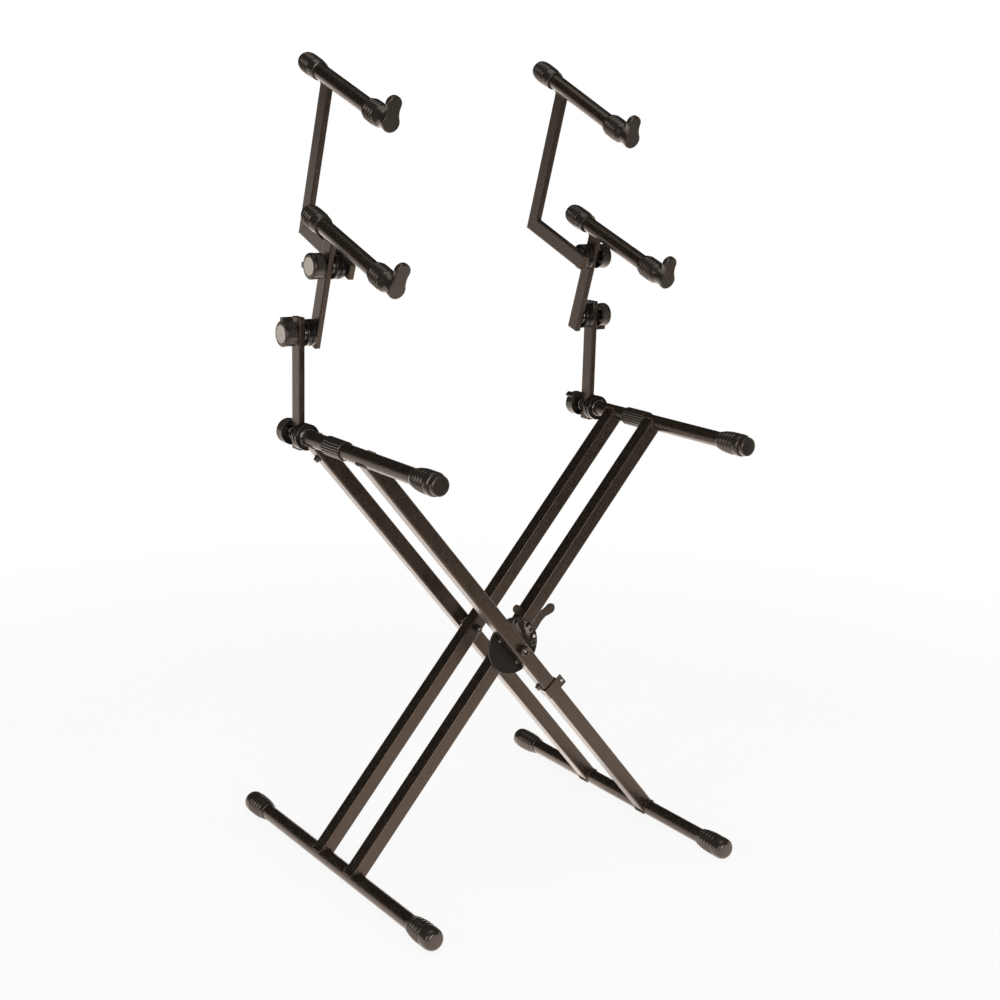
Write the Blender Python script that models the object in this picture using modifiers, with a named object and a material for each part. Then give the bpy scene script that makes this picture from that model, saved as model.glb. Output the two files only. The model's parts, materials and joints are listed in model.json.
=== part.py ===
"""Three-tier keyboard stand on a double-braced X frame.

Metres, +Z up, +X to the stand's right and -Y towards the player. The origin is on the
floor, under the middle of the feet. Two nested leg frames cross at a pivot: the outer
frame carries the left base arm, the inner frame the right one. Behind each arm a post,
a link and an L-shaped upright carry the second and third tiers on clamped rosettes.
"""

import math

import bmesh
import bpy
from mathutils import Matrix, Vector

# Clearance between pieces that touch, and between a shaft and its bore
GAP = 0.0003

# Leg frames
LEG_WIDTH = 0.025
LEG_WALL = 0.0015
LEG_CORNER = 0.0025
LEG_HALF_LENGTH = 0.4447
LEG_ANGLE = math.radians(49.9)
LEG_CENTRE_Y = -0.003
OUTER_LEG_OFFSET = 0.0805
INNER_LEG_OFFSET = 0.0508
LEG_END_TRIM = 0.003

# Round tubes of the feet, arms and tiers
TUBE_RADIUS = 0.0125
TUBE_WALL = 0.0015
TUBE_STEPS = 24
FOOT_REACH = 0.296
ARM_FRONT = LEG_CENTRE_Y - 0.283
ARM_REAR = LEG_CENTRE_Y + 0.094

# Rubber caps and sleeves
CAP_RADIUS = 0.018
CAP_LENGTH = 0.063
CAP_POCKET = 0.056
CAP_STEPS = 24
SLEEVE_RADIUS = 0.015
SLEEVE_LENGTH = 0.053
SLEEVE_CENTRE = {"left": 0.0010, "right": -0.0142}

# Flat tubes of the posts, links and uprights
FLAT_DEPTH = 0.025
FLAT_THICKNESS = 0.010
FLAT_WALL = 0.0015

# Rosette pairs and knobs
ROSETTE_RADIUS = 0.021
ROSETTE_HUB = 0.0140
ROSETTE_STEP = 0.0020
ROSETTE_STACK = 0.021
ROSETTE_THICKNESS = (ROSETTE_STACK - 3 * GAP) / 2
SCREW_RADIUS = 0.003
BORE_RADIUS = SCREW_RADIUS + GAP
KNOB_RADIUS = 0.0203
KNOB_FACE = 0.0258
KNOB_RIM = 0.0055
KNOB_BOSS = 0.008
INSERT_RADIUS = 0.0142

# Tiers, measured in the side view from joint to joint
POST_FOOT = 0.0235
POST_HEAD = 0.0255
LOWER_TILT_HEIGHT = 0.1588
LINK_LEAN = math.radians(17.0)
LINK_TAIL = 0.0235
LOWER_TO_UPPER_TILT = 0.1102
LOWER_TILT_TO_TIER2 = {"left": 0.1632, "right": 0.1574}
TIER2_TILT = {"left": math.radians(19.2), "right": math.radians(19.5)}
UPRIGHT_RISE = math.radians(20.6)
UPRIGHT_TAIL = 0.0265
UPPER_TILT_TO_BEND = 0.1321
UPRIGHT_LEAN = math.radians(17.1)
BEND_TO_TIER3 = {"left": 0.2437, "right": 0.2414}
TIER3_TILT = {"left": math.radians(19.2), "right": math.radians(23.4)}
TIER_BACK = 0.079
BACK_CAP_LENGTH = 0.054
BACK_CAP_POCKET = 0.047
TIER_STOP = {"left_tier2": 0.1370, "right_tier2": 0.1340, "left_tier3": 0.1320, "right_tier3": 0.1385}

# Stop caps: a ribbed socket, then a plate with two lobes
STOP_POCKET = 0.043
STOP_NECK_RADIUS = 0.0132
STOP_NECK_LENGTH = 0.0575
STOP_PLATE = 0.009
STOP_LOWER_LOBE = 0.0143
STOP_UPPER_LOBE = 0.0123
STOP_LOBE_SPACING = 0.0285
STOP_WAIST_CURVE = 0.030

# How far each stop is turned on its tube, towards the stand's right
STOP_ROLL = {"left_tier2": 9.0, "right_tier2": -8.0, "left_tier3": 0.0, "right_tier3": -12.0}

# Pivot and lock
PIVOT_RADIUS = 0.005
PIVOT_BORE = PIVOT_RADIUS + GAP
PIVOT_NUT_RADIUS = 0.0092
PIVOT_NUT = 0.008
PIVOT_HEAD_RADIUS = {"front": 0.0078, "rear": 0.0062}
PIVOT_HEAD = 0.0105
DISC_RADIUS = 0.0478
DISC_THICKNESS = 0.003
HOLE_CIRCLE = 0.0407
HOLE_RADIUS = 0.0038
HOLE_PITCH = math.radians(17.5)
HOLES_BELOW = 2
HOLES_ABOVE = 4
PIN_ANGLE = math.radians(14.8)
PIN_RADIUS = 0.0035
LEVER_THICKNESS = 0.003
LEVER_SETBACK = 0.0108
LEVER_TRAVEL = 0.008
SLOT_ALONG = (0.0440, 0.0730)

# Clip and studs on the outer legs
CLIP_ALONG = (0.091, 0.111)
CLIP_SHEET = 0.002
CLIP_LUG_REACH = 0.0090
STUD_RADIUS = 0.0050
STUD_HEIGHT = 0.0065
STUD_ALONG = {"front": 0.086, "rear": -0.4155}

# Places that follow from the sizes above
FOOT_Z = CAP_RADIUS
ARM_X = LEG_HALF_LENGTH * math.cos(LEG_ANGLE)
PIVOT_Z = FOOT_Z + LEG_HALF_LENGTH * math.sin(LEG_ANGLE)
ARM_Z = PIVOT_Z + LEG_HALF_LENGTH * math.sin(LEG_ANGLE)
POST_Y = ARM_REAR + ROSETTE_STACK + FLAT_DEPTH / 2
TIER_PITCH = ROSETTE_STACK + FLAT_THICKNESS
LINK_X = ARM_X - TIER_PITCH
UPRIGHT_X = LINK_X - TIER_PITCH
OUTER_FRONT_Y = LEG_CENTRE_Y - OUTER_LEG_OFFSET
OUTER_REAR_Y = LEG_CENTRE_Y + OUTER_LEG_OFFSET
INNER_FRONT_Y = LEG_CENTRE_Y - INNER_LEG_OFFSET
INNER_REAR_Y = LEG_CENTRE_Y + INNER_LEG_OFFSET
DISC_FRONT_Y = OUTER_FRONT_Y + LEG_WIDTH / 2 + GAP
DISC_BACK_Y = DISC_FRONT_Y + DISC_THICKNESS
LEVER_FRONT_Y = INNER_FRONT_Y - LEG_WIDTH / 2 + LEVER_SETBACK
SIDES = (("left", -1.0), ("right", 1.0))

# Colour, roughness and metallic value of each finish
FINISHES = {
    "powder_coat": ((0.030, 0.027, 0.024, 1.0), 0.40, 0.0),
    "rubber": ((0.020, 0.019, 0.018, 1.0), 0.62, 0.0),
    "plastic": ((0.022, 0.021, 0.020, 1.0), 0.35, 0.0),
    "zinc": ((0.74, 0.73, 0.70, 1.0), 0.28, 1.0),
}

EAST = Vector((1.0, 0.0, 0.0))
BACK = Vector((0.0, 1.0, 0.0))
FRONT = Vector((0.0, -1.0, 0.0))
UP = Vector((0.0, 0.0, 1.0))

BODY_POINTS = {}


def clear_scene():
    """Remove the objects of the open scene."""
    for obj in list(bpy.data.objects):
        bpy.data.objects.remove(obj, do_unlink=True)


def new_collection(name):
    """A collection linked to the scene."""
    collection = bpy.data.collections.new(name)
    bpy.context.scene.collection.children.link(collection)
    return collection


def new_material(name, finish):
    """A Principled material of the named finish."""
    colour, roughness, metallic = FINISHES[finish]
    material = bpy.data.materials.new(name)
    material.use_nodes = True
    shader = material.node_tree.nodes["Principled BSDF"]
    shader.inputs["Base Color"].default_value = colour
    shader.inputs["Roughness"].default_value = roughness
    shader.inputs["Metallic"].default_value = metallic
    return material


def basis(z_axis, x_axis):
    """Rotation that turns local Z to z_axis and local X to x_axis."""
    z_axis = z_axis.normalized()
    x_axis = (x_axis - z_axis * x_axis.dot(z_axis)).normalized()
    y_axis = z_axis.cross(x_axis)
    return Matrix((x_axis, y_axis, z_axis)).transposed().to_euler()


def body(name, point, parent=None):
    """An empty on a moving body's joint axis, which its pieces are parented to."""
    empty = bpy.data.objects.new("body_" + name, None)
    empty.empty_display_size = 0.03
    PARTS.objects.link(empty)
    empty.location = Vector(point)
    if parent:
        empty.parent = bpy.data.objects["body_" + parent]
        empty.location -= BODY_POINTS[parent]
    BODY_POINTS[name] = Vector(point)


def piece(name, mesh, finish, owner, point, rotation=None):
    """Place a mesh as a named piece of a body."""
    mesh.name = name
    mesh.materials.clear()
    mesh.materials.append(new_material(name, finish))
    obj = bpy.data.objects.new(name, mesh)
    PARTS.objects.link(obj)
    obj.parent = bpy.data.objects["body_" + owner]
    obj.location = Vector(point) - BODY_POINTS[owner]
    if rotation:
        obj.rotation_euler = rotation
    return obj


def helper(name, mesh, point, rotation=None):
    """Place a mesh as a cutter or an addition for a Boolean."""
    obj = bpy.data.objects.new(name, mesh)
    CUTTERS.objects.link(obj)
    obj.location = Vector(point)
    if rotation:
        obj.rotation_euler = rotation
    obj.hide_render = True
    obj.display_type = "WIRE"
    return obj


def combine(obj, tool, operation="DIFFERENCE"):
    """Cut the tool from the object, or join it on."""
    modifier = obj.modifiers.new(tool.name, "BOOLEAN")
    modifier.operation = operation
    modifier.solver = "EXACT"
    modifier.object = tool


def evaluated_mesh(obj):
    """The object's evaluated mesh, with the object removed and the seams merged."""
    depsgraph = bpy.context.evaluated_depsgraph_get()
    mesh = bpy.data.meshes.new_from_object(obj.evaluated_get(depsgraph))
    bpy.data.objects.remove(obj, do_unlink=True)
    work = bmesh.new()
    work.from_mesh(mesh)
    bmesh.ops.remove_doubles(work, verts=work.verts, dist=1e-6)
    bmesh.ops.recalc_face_normals(work, faces=work.faces)
    work.to_mesh(mesh)
    work.free()
    mesh.shade_smooth()
    mesh.set_sharp_from_angle(angle=math.radians(35))
    return mesh


def turned(profile, steps):
    """Turn a profile of (radius, height) points about Z, outer side from top to bottom."""
    closed = profile[0][0] > 0.0
    edges = [(i, i + 1) for i in range(len(profile) - 1)]
    if closed:
        edges.append((len(profile) - 1, 0))
    mesh = bpy.data.meshes.new("profile")
    mesh.from_pydata([(radius, 0.0, height) for radius, height in profile], edges, [])
    obj = bpy.data.objects.new("profile", mesh)
    CUTTERS.objects.link(obj)
    screw = obj.modifiers.new("Turn", "SCREW")
    screw.steps = steps
    screw.render_steps = steps
    screw.use_merge_vertices = True
    screw.merge_threshold = 1e-6
    return evaluated_mesh(obj)


def cylinder(radius, low, high, steps=TUBE_STEPS):
    """A solid cylinder about Z."""
    return turned([(0.0, high), (radius, high), (radius, low), (0.0, low)], steps)


def ring(outer, inner, low, high, steps=TUBE_STEPS):
    """A tube about Z."""
    return turned([(outer, high), (outer, low), (inner, low), (inner, high)], steps)


def box(size_x, size_y, size_z):
    """A box round its own middle."""
    mesh = bpy.data.meshes.new("box")
    work = bmesh.new()
    bmesh.ops.create_cube(work, size=1.0, matrix=Matrix.Diagonal((size_x, size_y, size_z, 1.0)))
    work.to_mesh(mesh)
    work.free()
    return mesh


def plate(outlines, thickness, smooth=False):
    """A flat plate in the XY plane, round Z = 0. Outlines after the first are holes."""
    curve = bpy.data.curves.new("outline", "CURVE")
    curve.dimensions = "2D"
    curve.fill_mode = "BOTH"
    curve.extrude = thickness / 2
    curve.resolution_u = 4
    for points in outlines:
        spline = curve.splines.new("BEZIER" if smooth else "POLY")
        if smooth:
            spline.bezier_points.add(len(points) - 1)
            for knot, point in zip(spline.bezier_points, points):
                knot.co = (point[0], point[1], 0.0)
                knot.handle_left_type = "AUTO"
                knot.handle_right_type = "AUTO"
        else:
            spline.points.add(len(points) - 1)
            for knot, point in zip(spline.points, points):
                knot.co = (point[0], point[1], 0.0, 1.0)
        spline.use_cyclic_u = True
    obj = bpy.data.objects.new("outline", curve)
    CUTTERS.objects.link(obj)
    return evaluated_mesh(obj)


def circle(radius, steps, centre=(0.0, 0.0)):
    """Points of a circle."""
    turns = [2 * math.pi * i / steps for i in range(steps)]
    return [(centre[0] + radius * math.cos(t), centre[1] + radius * math.sin(t)) for t in turns]


def arc(centre, radius, start, end, steps):
    """Points of an arc from one angle to another, in radians."""
    turns = [start + (end - start) * i / steps for i in range(steps + 1)]
    return [(centre[0] + radius * math.cos(t), centre[1] + radius * math.sin(t)) for t in turns]


def rounded_square(width, corner, steps=2):
    """Outline of a square with rounded corners."""
    inner = width / 2 - corner
    points = []
    for quarter, (sx, sy) in enumerate(((1, 1), (-1, 1), (-1, -1), (1, -1))):
        start = quarter * math.pi / 2
        points += arc((sx * inner, sy * inner), corner, start, start + math.pi / 2, steps)
    return points


def strip(path, half_width):
    """Outline of a strip along a path of 2D points, with mitred bends."""
    runs = [(end - start).normalized() for start, end in zip(path, path[1:])]
    left = []
    right = []
    for point, before, after in zip(path, runs[:1] + runs, runs + runs[-1:]):
        middle = (before + after).normalized()
        across = Vector((-middle.y, middle.x))
        reach = half_width / middle.dot(after)
        left.append(point + across * reach)
        right.append(point - across * reach)
    return left + right[::-1]


def flat_tube(name, path, owner, x):
    """A flat steel tube in the YZ plane at x, closed at its first end, open at its last."""
    origin = BODY_POINTS[owner]
    place = Vector((x, origin.y, origin.z))
    flat = [Vector((point[0] - origin.y, point[1] - origin.z)) for point in path]
    turn = basis(EAST, BACK)
    mesh = plate([strip(flat, FLAT_DEPTH / 2)], FLAT_THICKNESS)
    obj = piece(name, mesh, "powder_coat", owner, place, turn)
    inside = list(flat)
    inside[0] = flat[0] + (flat[1] - flat[0]).normalized() * FLAT_WALL
    inside[-1] = flat[-1] + (flat[-1] - flat[-2]).normalized() * 0.01
    hollow = plate([strip(inside, FLAT_DEPTH / 2 - FLAT_WALL)], FLAT_THICKNESS - 2 * FLAT_WALL)
    combine(obj, helper(name + "_hollow", hollow, place, turn))
    return obj


def bore(obj, point, axis, radius, reach=0.03, steps=16):
    """Drill through an object at a point."""
    tool = cylinder(radius, -reach, reach, steps)
    combine(obj, helper(obj.name + "_bore", tool, point, basis(axis, UP + EAST * 0.5)))


def cope(obj, point, axis, reach=0.03):
    """Notch an object's end to the round tube that crosses at a point."""
    tool = cylinder(TUBE_RADIUS + GAP, -reach, reach, TUBE_STEPS)
    combine(obj, helper(obj.name + "_cope", tool, point, basis(axis, EAST)))


def leg_direction(frame):
    """Unit vector along a frame's legs, upwards."""
    lean = 1.0 if frame == "inner" else -1.0
    return Vector((lean * math.cos(LEG_ANGLE), 0.0, math.sin(LEG_ANGLE)))


def leg_point(frame, y, along, across=0.0):
    """A point of a leg: along from the pivot, upwards for the inner frame and downwards
    for the outer, and across from the middle line towards the stand's right."""
    run = Vector((math.cos(LEG_ANGLE), 0.0, math.sin(LEG_ANGLE)))
    side = Vector((math.sin(LEG_ANGLE), 0.0, -math.cos(LEG_ANGLE)))
    if frame == "outer":
        run.z = -run.z
        side.z = -side.z
    return Vector((0.0, y, PIVOT_Z)) + run * along + side * across


def leg(frame, end, y):
    """A square leg tube with its ends notched to the foot and arm tubes."""
    direction = leg_direction(frame)
    length = 2 * (LEG_HALF_LENGTH - LEG_END_TRIM)
    outline = rounded_square(LEG_WIDTH, LEG_CORNER)
    hollow = rounded_square(LEG_WIDTH - 2 * LEG_WALL, LEG_CORNER - LEG_WALL, 1)
    centre = Vector((0.0, y, PIVOT_Z))
    mesh = plate([outline, hollow], length)
    name = f"{frame}_leg_{end}"
    obj = piece(name, mesh, "powder_coat", frame + "_frame", centre, basis(direction, BACK))
    for sign in (-1.0, 1.0):
        cope(obj, centre + direction * sign * LEG_HALF_LENGTH, BACK)
    bore(obj, centre, BACK, PIVOT_BORE, steps=24)
    return obj


def round_tube(name, owner, point, axis, low, high):
    """A round steel tube along an axis, from low to high about the point."""
    mesh = ring(TUBE_RADIUS, TUBE_RADIUS - TUBE_WALL, low, high)
    return piece(name, mesh, "powder_coat", owner, point, basis(axis, EAST))


def cap_profile(length, pocket):
    """Profile of a rubber end cap: its open end at Z = 0 and its face at Z = length."""
    return [
        (0.0, length),
        (0.0130, length),
        (0.0152, length - 0.0025),
        (0.0155, length - 0.0080),
        (CAP_RADIUS - 0.0007, length - 0.0100),
        (CAP_RADIUS, length - 0.0200),
        (0.0172, 0.0120),
        (0.0145, 0.0010),
        (0.0142, 0.0),
        (TUBE_RADIUS + GAP, 0.0),
        (TUBE_RADIUS + GAP, pocket),
        (0.0, pocket),
    ]


def back_cap_profile():
    """Profile of a tier tube's back cap: a collar at Z = 0, then a rounded closed end."""
    length = BACK_CAP_LENGTH
    pocket = BACK_CAP_POCKET + GAP
    return [
        (0.0, length),
        (0.0085, length),
        (0.0130, length - 0.0022),
        (0.0156, length - 0.0070),
        (0.0170, length - 0.0150),
        (0.0173, 0.0160),
        (0.0168, 0.0040),
        (0.0156, 0.0),
        (TUBE_RADIUS + GAP, 0.0),
        (TUBE_RADIUS + GAP, pocket),
        (0.0, pocket),
    ]


def end_cap(name, owner, point, axis, profile=None):
    """A rubber cap whose open end is at the point and whose face looks along the axis."""
    mesh = turned(profile or cap_profile(CAP_LENGTH, CAP_POCKET + GAP), CAP_STEPS)
    return piece(name, mesh, "rubber", owner, point, basis(axis, EAST))


def sleeve(side, owner):
    """The rubber sleeve round a base arm, between its legs."""
    x = ARM_X if side == "right" else -ARM_X
    mesh = ring(SLEEVE_RADIUS, TUBE_RADIUS + GAP, -SLEEVE_LENGTH / 2, SLEEVE_LENGTH / 2)
    point = Vector((x, SLEEVE_CENTRE[side], ARM_Z))
    piece(side + "_arm_sleeve", mesh, "rubber", owner, point, basis(BACK, EAST))


def frame_tubes(frame, foot_side, arm_side):
    """The legs, foot, arm, caps, sleeve and rosette plug of one leg frame."""
    owner = frame + "_frame"
    foot_x = math.copysign(ARM_X, dict(SIDES)[foot_side])
    arm_x = math.copysign(ARM_X, dict(SIDES)[arm_side])
    foot = Vector((foot_x, 0.0, FOOT_Z))
    tube_end = FOOT_REACH - CAP_LENGTH + CAP_POCKET
    round_tube(frame + "_foot_tube", owner, foot, BACK, -tube_end, tube_end)
    for end, axis in (("front", FRONT), ("back", BACK)):
        point = foot + axis * (FOOT_REACH - CAP_LENGTH)
        end_cap(f"{foot_side}_foot_cap_{end}", owner, point, axis)
    arm = Vector((arm_x, 0.0, ARM_Z))
    arm_front = ARM_FRONT + CAP_LENGTH - CAP_POCKET
    round_tube(frame + "_arm_tube", owner, arm, BACK, arm_front, ARM_REAR)
    end_cap(arm_side + "_arm_cap", owner, arm + BACK * (ARM_FRONT + CAP_LENGTH), FRONT)
    sleeve(arm_side, owner)
    arm_rosette(arm_side, owner, Vector((arm_x, ARM_REAR, ARM_Z)))


def arm_rosette(side, owner, point):
    """A rosette with a plug that fills the arm tube's rear end."""
    plug = TUBE_RADIUS - TUBE_WALL - GAP
    top = GAP + ROSETTE_THICKNESS
    profile = [
        (ROSETTE_RADIUS, top),
        (ROSETTE_RADIUS, GAP + ROSETTE_STEP),
        (ROSETTE_HUB, GAP + ROSETTE_STEP),
        (ROSETTE_HUB, GAP),
        (plug, GAP),
        (plug, -0.015),
        (BORE_RADIUS, -0.015),
        (BORE_RADIUS, top),
    ]
    mesh = turned(profile, TUBE_STEPS)
    piece(side + "_arm_rosette", mesh, "plastic", owner, point, basis(BACK, EAST))


def rosette(name, owner, point, axis):
    """A rosette with its back at the point and its toothed side along the axis."""
    profile = [
        (ROSETTE_RADIUS, ROSETTE_THICKNESS),
        (ROSETTE_RADIUS, ROSETTE_STEP),
        (ROSETTE_HUB, ROSETTE_STEP),
        (ROSETTE_HUB, 0.0),
        (BORE_RADIUS, 0.0),
        (BORE_RADIUS, ROSETTE_THICKNESS),
    ]
    mesh = turned(profile, TUBE_STEPS)
    piece(name, mesh, "plastic", owner, point + axis * GAP, basis(axis, UP))


def knob(name, owner, point, axis, ear, screw_length):
    """A clamp knob that bears at the point, with its face along the axis, one ear and a
    moulded-in screw that runs back from the point."""
    profile = [
        (0.0, KNOB_FACE),
        (INSERT_RADIUS, KNOB_FACE),
        (INSERT_RADIUS + 0.0008, KNOB_FACE - 0.0008),
        (KNOB_RADIUS - 0.0018, KNOB_FACE - 0.0008),
        (KNOB_RADIUS, KNOB_FACE - 0.0026),
        (KNOB_RADIUS, KNOB_RIM),
        (KNOB_RADIUS - 0.0022, KNOB_RIM),
        (KNOB_RADIUS - 0.0022, KNOB_RIM + 0.010),
        (KNOB_BOSS, KNOB_RIM + 0.010),
        (KNOB_BOSS, GAP),
        (SCREW_RADIUS, GAP),
        (SCREW_RADIUS, -screw_length),
        (0.0, -screw_length),
    ]
    turn = basis(axis, ear)
    obj = piece(name, turned(profile, CAP_STEPS), "plastic", owner, point, turn)
    ear_length = KNOB_FACE - KNOB_RIM - 0.002
    middle = point + axis * (KNOB_RIM + ear_length / 2 + 0.0006) + ear.normalized() * KNOB_RADIUS
    combine(obj, helper(name + "_ear", box(0.011, 0.0095, ear_length), middle, turn), "UNION")


def stop_outline():
    """Outline of a stop plate: two lobes joined by hollow flanks."""
    low = STOP_LOWER_LOBE + STOP_WAIST_CURVE
    high = STOP_UPPER_LOBE + STOP_WAIST_CURVE
    rise = (low ** 2 - high ** 2 + STOP_LOBE_SPACING ** 2) / (2 * STOP_LOBE_SPACING)
    reach = math.sqrt(low ** 2 - rise ** 2)
    to_low = math.atan2(rise, reach)
    to_high = math.atan2(STOP_LOBE_SPACING - rise, reach)
    lower = arc((0.0, 0.0), STOP_LOWER_LOBE, -math.pi - to_low, to_low, 12)
    right = arc((reach, rise), STOP_WAIST_CURVE, math.pi + to_low, math.pi - to_high, 4)
    upper = arc((0.0, STOP_LOBE_SPACING), STOP_UPPER_LOBE, -to_high, math.pi + to_high, 12)
    left = arc((-reach, rise), STOP_WAIST_CURVE, to_high, -to_low, 4)
    return lower[1:] + right[1:] + upper[1:] + left[1:]


def stop_cap(name, owner, point, axis, roll):
    """A rubber cap with an upright stop plate on its face, turned by a roll on its tube."""
    profile = [
        (0.0, STOP_NECK_LENGTH + STOP_PLATE / 2),
        (STOP_NECK_RADIUS, STOP_NECK_LENGTH + STOP_PLATE / 2),
        (STOP_NECK_RADIUS, STOP_NECK_LENGTH - 0.010),
        (CAP_RADIUS - 0.0010, STOP_NECK_LENGTH - 0.021),
        (0.0172, 0.0120),
        (0.0145, 0.0010),
        (0.0142, 0.0),
        (TUBE_RADIUS + GAP, 0.0),
        (TUBE_RADIUS + GAP, STOP_POCKET + GAP),
        (0.0, STOP_POCKET + GAP),
    ]
    turn = basis(axis, EAST * math.cos(roll) - axis.cross(EAST) * math.sin(roll))
    obj = piece(name, turned(profile, CAP_STEPS), "rubber", owner, point, turn)
    middle = point + axis * (STOP_NECK_LENGTH + STOP_PLATE / 2)
    lobes = helper(name + "_lobes", plate([stop_outline()], STOP_PLATE), middle, turn)
    combine(obj, lobes, "UNION")


def tier_tube(side, tier, owner, point, tilt):
    """A tier tube with its back cap and stop cap, tilted down towards the player."""
    along = Vector((0.0, -math.cos(tilt), -math.sin(tilt)))
    back = -TIER_BACK + BACK_CAP_LENGTH - BACK_CAP_POCKET
    name = f"{side}_{tier}"
    round_tube(name + "_tube", owner, point, along, back, TIER_STOP[name] + STOP_POCKET)
    cap_point = point - along * (TIER_BACK - BACK_CAP_LENGTH)
    end_cap(name + "_back_cap", owner, cap_point, -along, back_cap_profile())
    stop_point = point + along * TIER_STOP[name]
    body(name + "_stop", stop_point, owner)
    roll = math.radians(STOP_ROLL[name])
    stop_cap(name + "_stop_cap", name + "_stop", stop_point, along, roll)


def tier_stack(side, sign, owner):
    """The post, link and upright of one side, with their rosettes, knobs and tiers."""
    outward = EAST * sign
    half = FLAT_THICKNESS / 2
    arm_end = Vector((sign * ARM_X, ARM_REAR, ARM_Z))
    lower = Vector((sign * ARM_X, POST_Y, ARM_Z + LOWER_TILT_HEIGHT))
    lean = Vector((0.0, -math.sin(LINK_LEAN), math.cos(LINK_LEAN)))
    upper = lower + lean * LOWER_TO_UPPER_TILT
    upper.x = sign * LINK_X

    post = side + "_post"
    body(post, arm_end, owner)
    path = [(POST_Y, ARM_Z - POST_FOOT), (POST_Y, lower.z + POST_HEAD)]
    obj = flat_tube(post, path[::-1], post, arm_end.x)
    bore(obj, Vector((arm_end.x, POST_Y, ARM_Z)), BACK, BORE_RADIUS)
    bore(obj, lower, EAST, BORE_RADIUS)
    post_face = arm_end + BACK * ROSETTE_STACK
    rosette(side + "_post_base_rosette", post, post_face, FRONT)
    rosette(side + "_post_top_rosette", post, lower - outward * half, -outward)
    body(side + "_swivel_knob", post_face + BACK * FLAT_DEPTH, post)
    knob(side + "_swivel_knob", side + "_swivel_knob", post_face + BACK * FLAT_DEPTH, BACK,
         -outward + UP, FLAT_DEPTH + ROSETTE_STACK + 0.008)

    link = side + "_link"
    body(link, lower, post)
    tier2 = lower + lean * LOWER_TILT_TO_TIER2[side]
    tail = lower - lean * LINK_TAIL
    head = tier2 - lean * 0.004
    obj = flat_tube(link, [(tail.y, tail.z), (head.y, head.z)], link, sign * LINK_X)
    tier2.x = sign * LINK_X
    tilt = TIER2_TILT[side]
    cope(obj, tier2, Vector((0.0, math.cos(tilt), math.sin(tilt))))
    bore(obj, Vector((sign * LINK_X, lower.y, lower.z)), EAST, BORE_RADIUS)
    bore(obj, upper, EAST, BORE_RADIUS)
    rosette(side + "_link_lower_rosette", link, Vector((sign * (LINK_X + half), lower.y, lower.z)), outward)
    rosette(side + "_link_upper_rosette", link, upper - outward * half, -outward)
    tier_tube(side, "tier2", link, tier2, tilt)
    bearing = lower + outward * half
    body(side + "_lower_tilt_knob", bearing, post)
    ear = UP if side == "left" else -UP
    knob(side + "_lower_tilt_knob", side + "_lower_tilt_knob", bearing, outward, ear,
         FLAT_THICKNESS + ROSETTE_STACK + 0.006)

    upright = side + "_upright"
    body(upright, upper, link)
    rise = Vector((0.0, math.cos(UPRIGHT_RISE), math.sin(UPRIGHT_RISE)))
    climb = Vector((0.0, -math.sin(UPRIGHT_LEAN), math.cos(UPRIGHT_LEAN)))
    bend = upper + rise * UPPER_TILT_TO_BEND
    tier3 = bend + climb * BEND_TO_TIER3[side]
    tier3.x = sign * UPRIGHT_X
    tail = upper - rise * UPRIGHT_TAIL
    head = tier3 - climb * 0.004
    path = [(tail.y, tail.z), (bend.y, bend.z), (head.y, head.z)]
    obj = flat_tube(side + "_tier3_upright", path, upright, sign * UPRIGHT_X)
    tilt = TIER3_TILT[side]
    cope(obj, tier3, Vector((0.0, math.cos(tilt), math.sin(tilt))))
    bore(obj, Vector((sign * UPRIGHT_X, upper.y, upper.z)), EAST, BORE_RADIUS)
    rosette(side + "_tier3_rosette", upright, Vector((sign * (UPRIGHT_X + half), upper.y, upper.z)), outward)
    tier_tube(side, "tier3", upright, tier3, tilt)
    bearing = upper + outward * half
    body(side + "_upper_tilt_knob", bearing, link)
    knob(side + "_upper_tilt_knob", side + "_upper_tilt_knob", bearing, outward, BACK,
         FLAT_THICKNESS + ROSETTE_STACK + 0.006)


def pivot_bolts():
    """The two pivot bolts, each with its head, shank and nut."""
    head_y = OUTER_FRONT_Y - LEG_WIDTH / 2
    nut_y = INNER_FRONT_Y + LEG_WIDTH / 2
    mesh = turned(bolt_profile("front", nut_y - head_y), CAP_STEPS)
    point = Vector((0.0, head_y, PIVOT_Z))
    piece("pivot_bolt_front", mesh, "zinc", "outer_frame", point, basis(FRONT, EAST))
    head_y = INNER_REAR_Y - LEG_WIDTH / 2
    nut_y = OUTER_REAR_Y + LEG_WIDTH / 2
    spacer = (INNER_REAR_Y + LEG_WIDTH / 2 - head_y, OUTER_REAR_Y - LEG_WIDTH / 2 - head_y)
    mesh = turned(bolt_profile("rear", nut_y - head_y, spacer), CAP_STEPS)
    point = Vector((0.0, head_y, PIVOT_Z))
    piece("pivot_bolt_rear", mesh, "zinc", "outer_frame", point, basis(FRONT, EAST))


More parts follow.
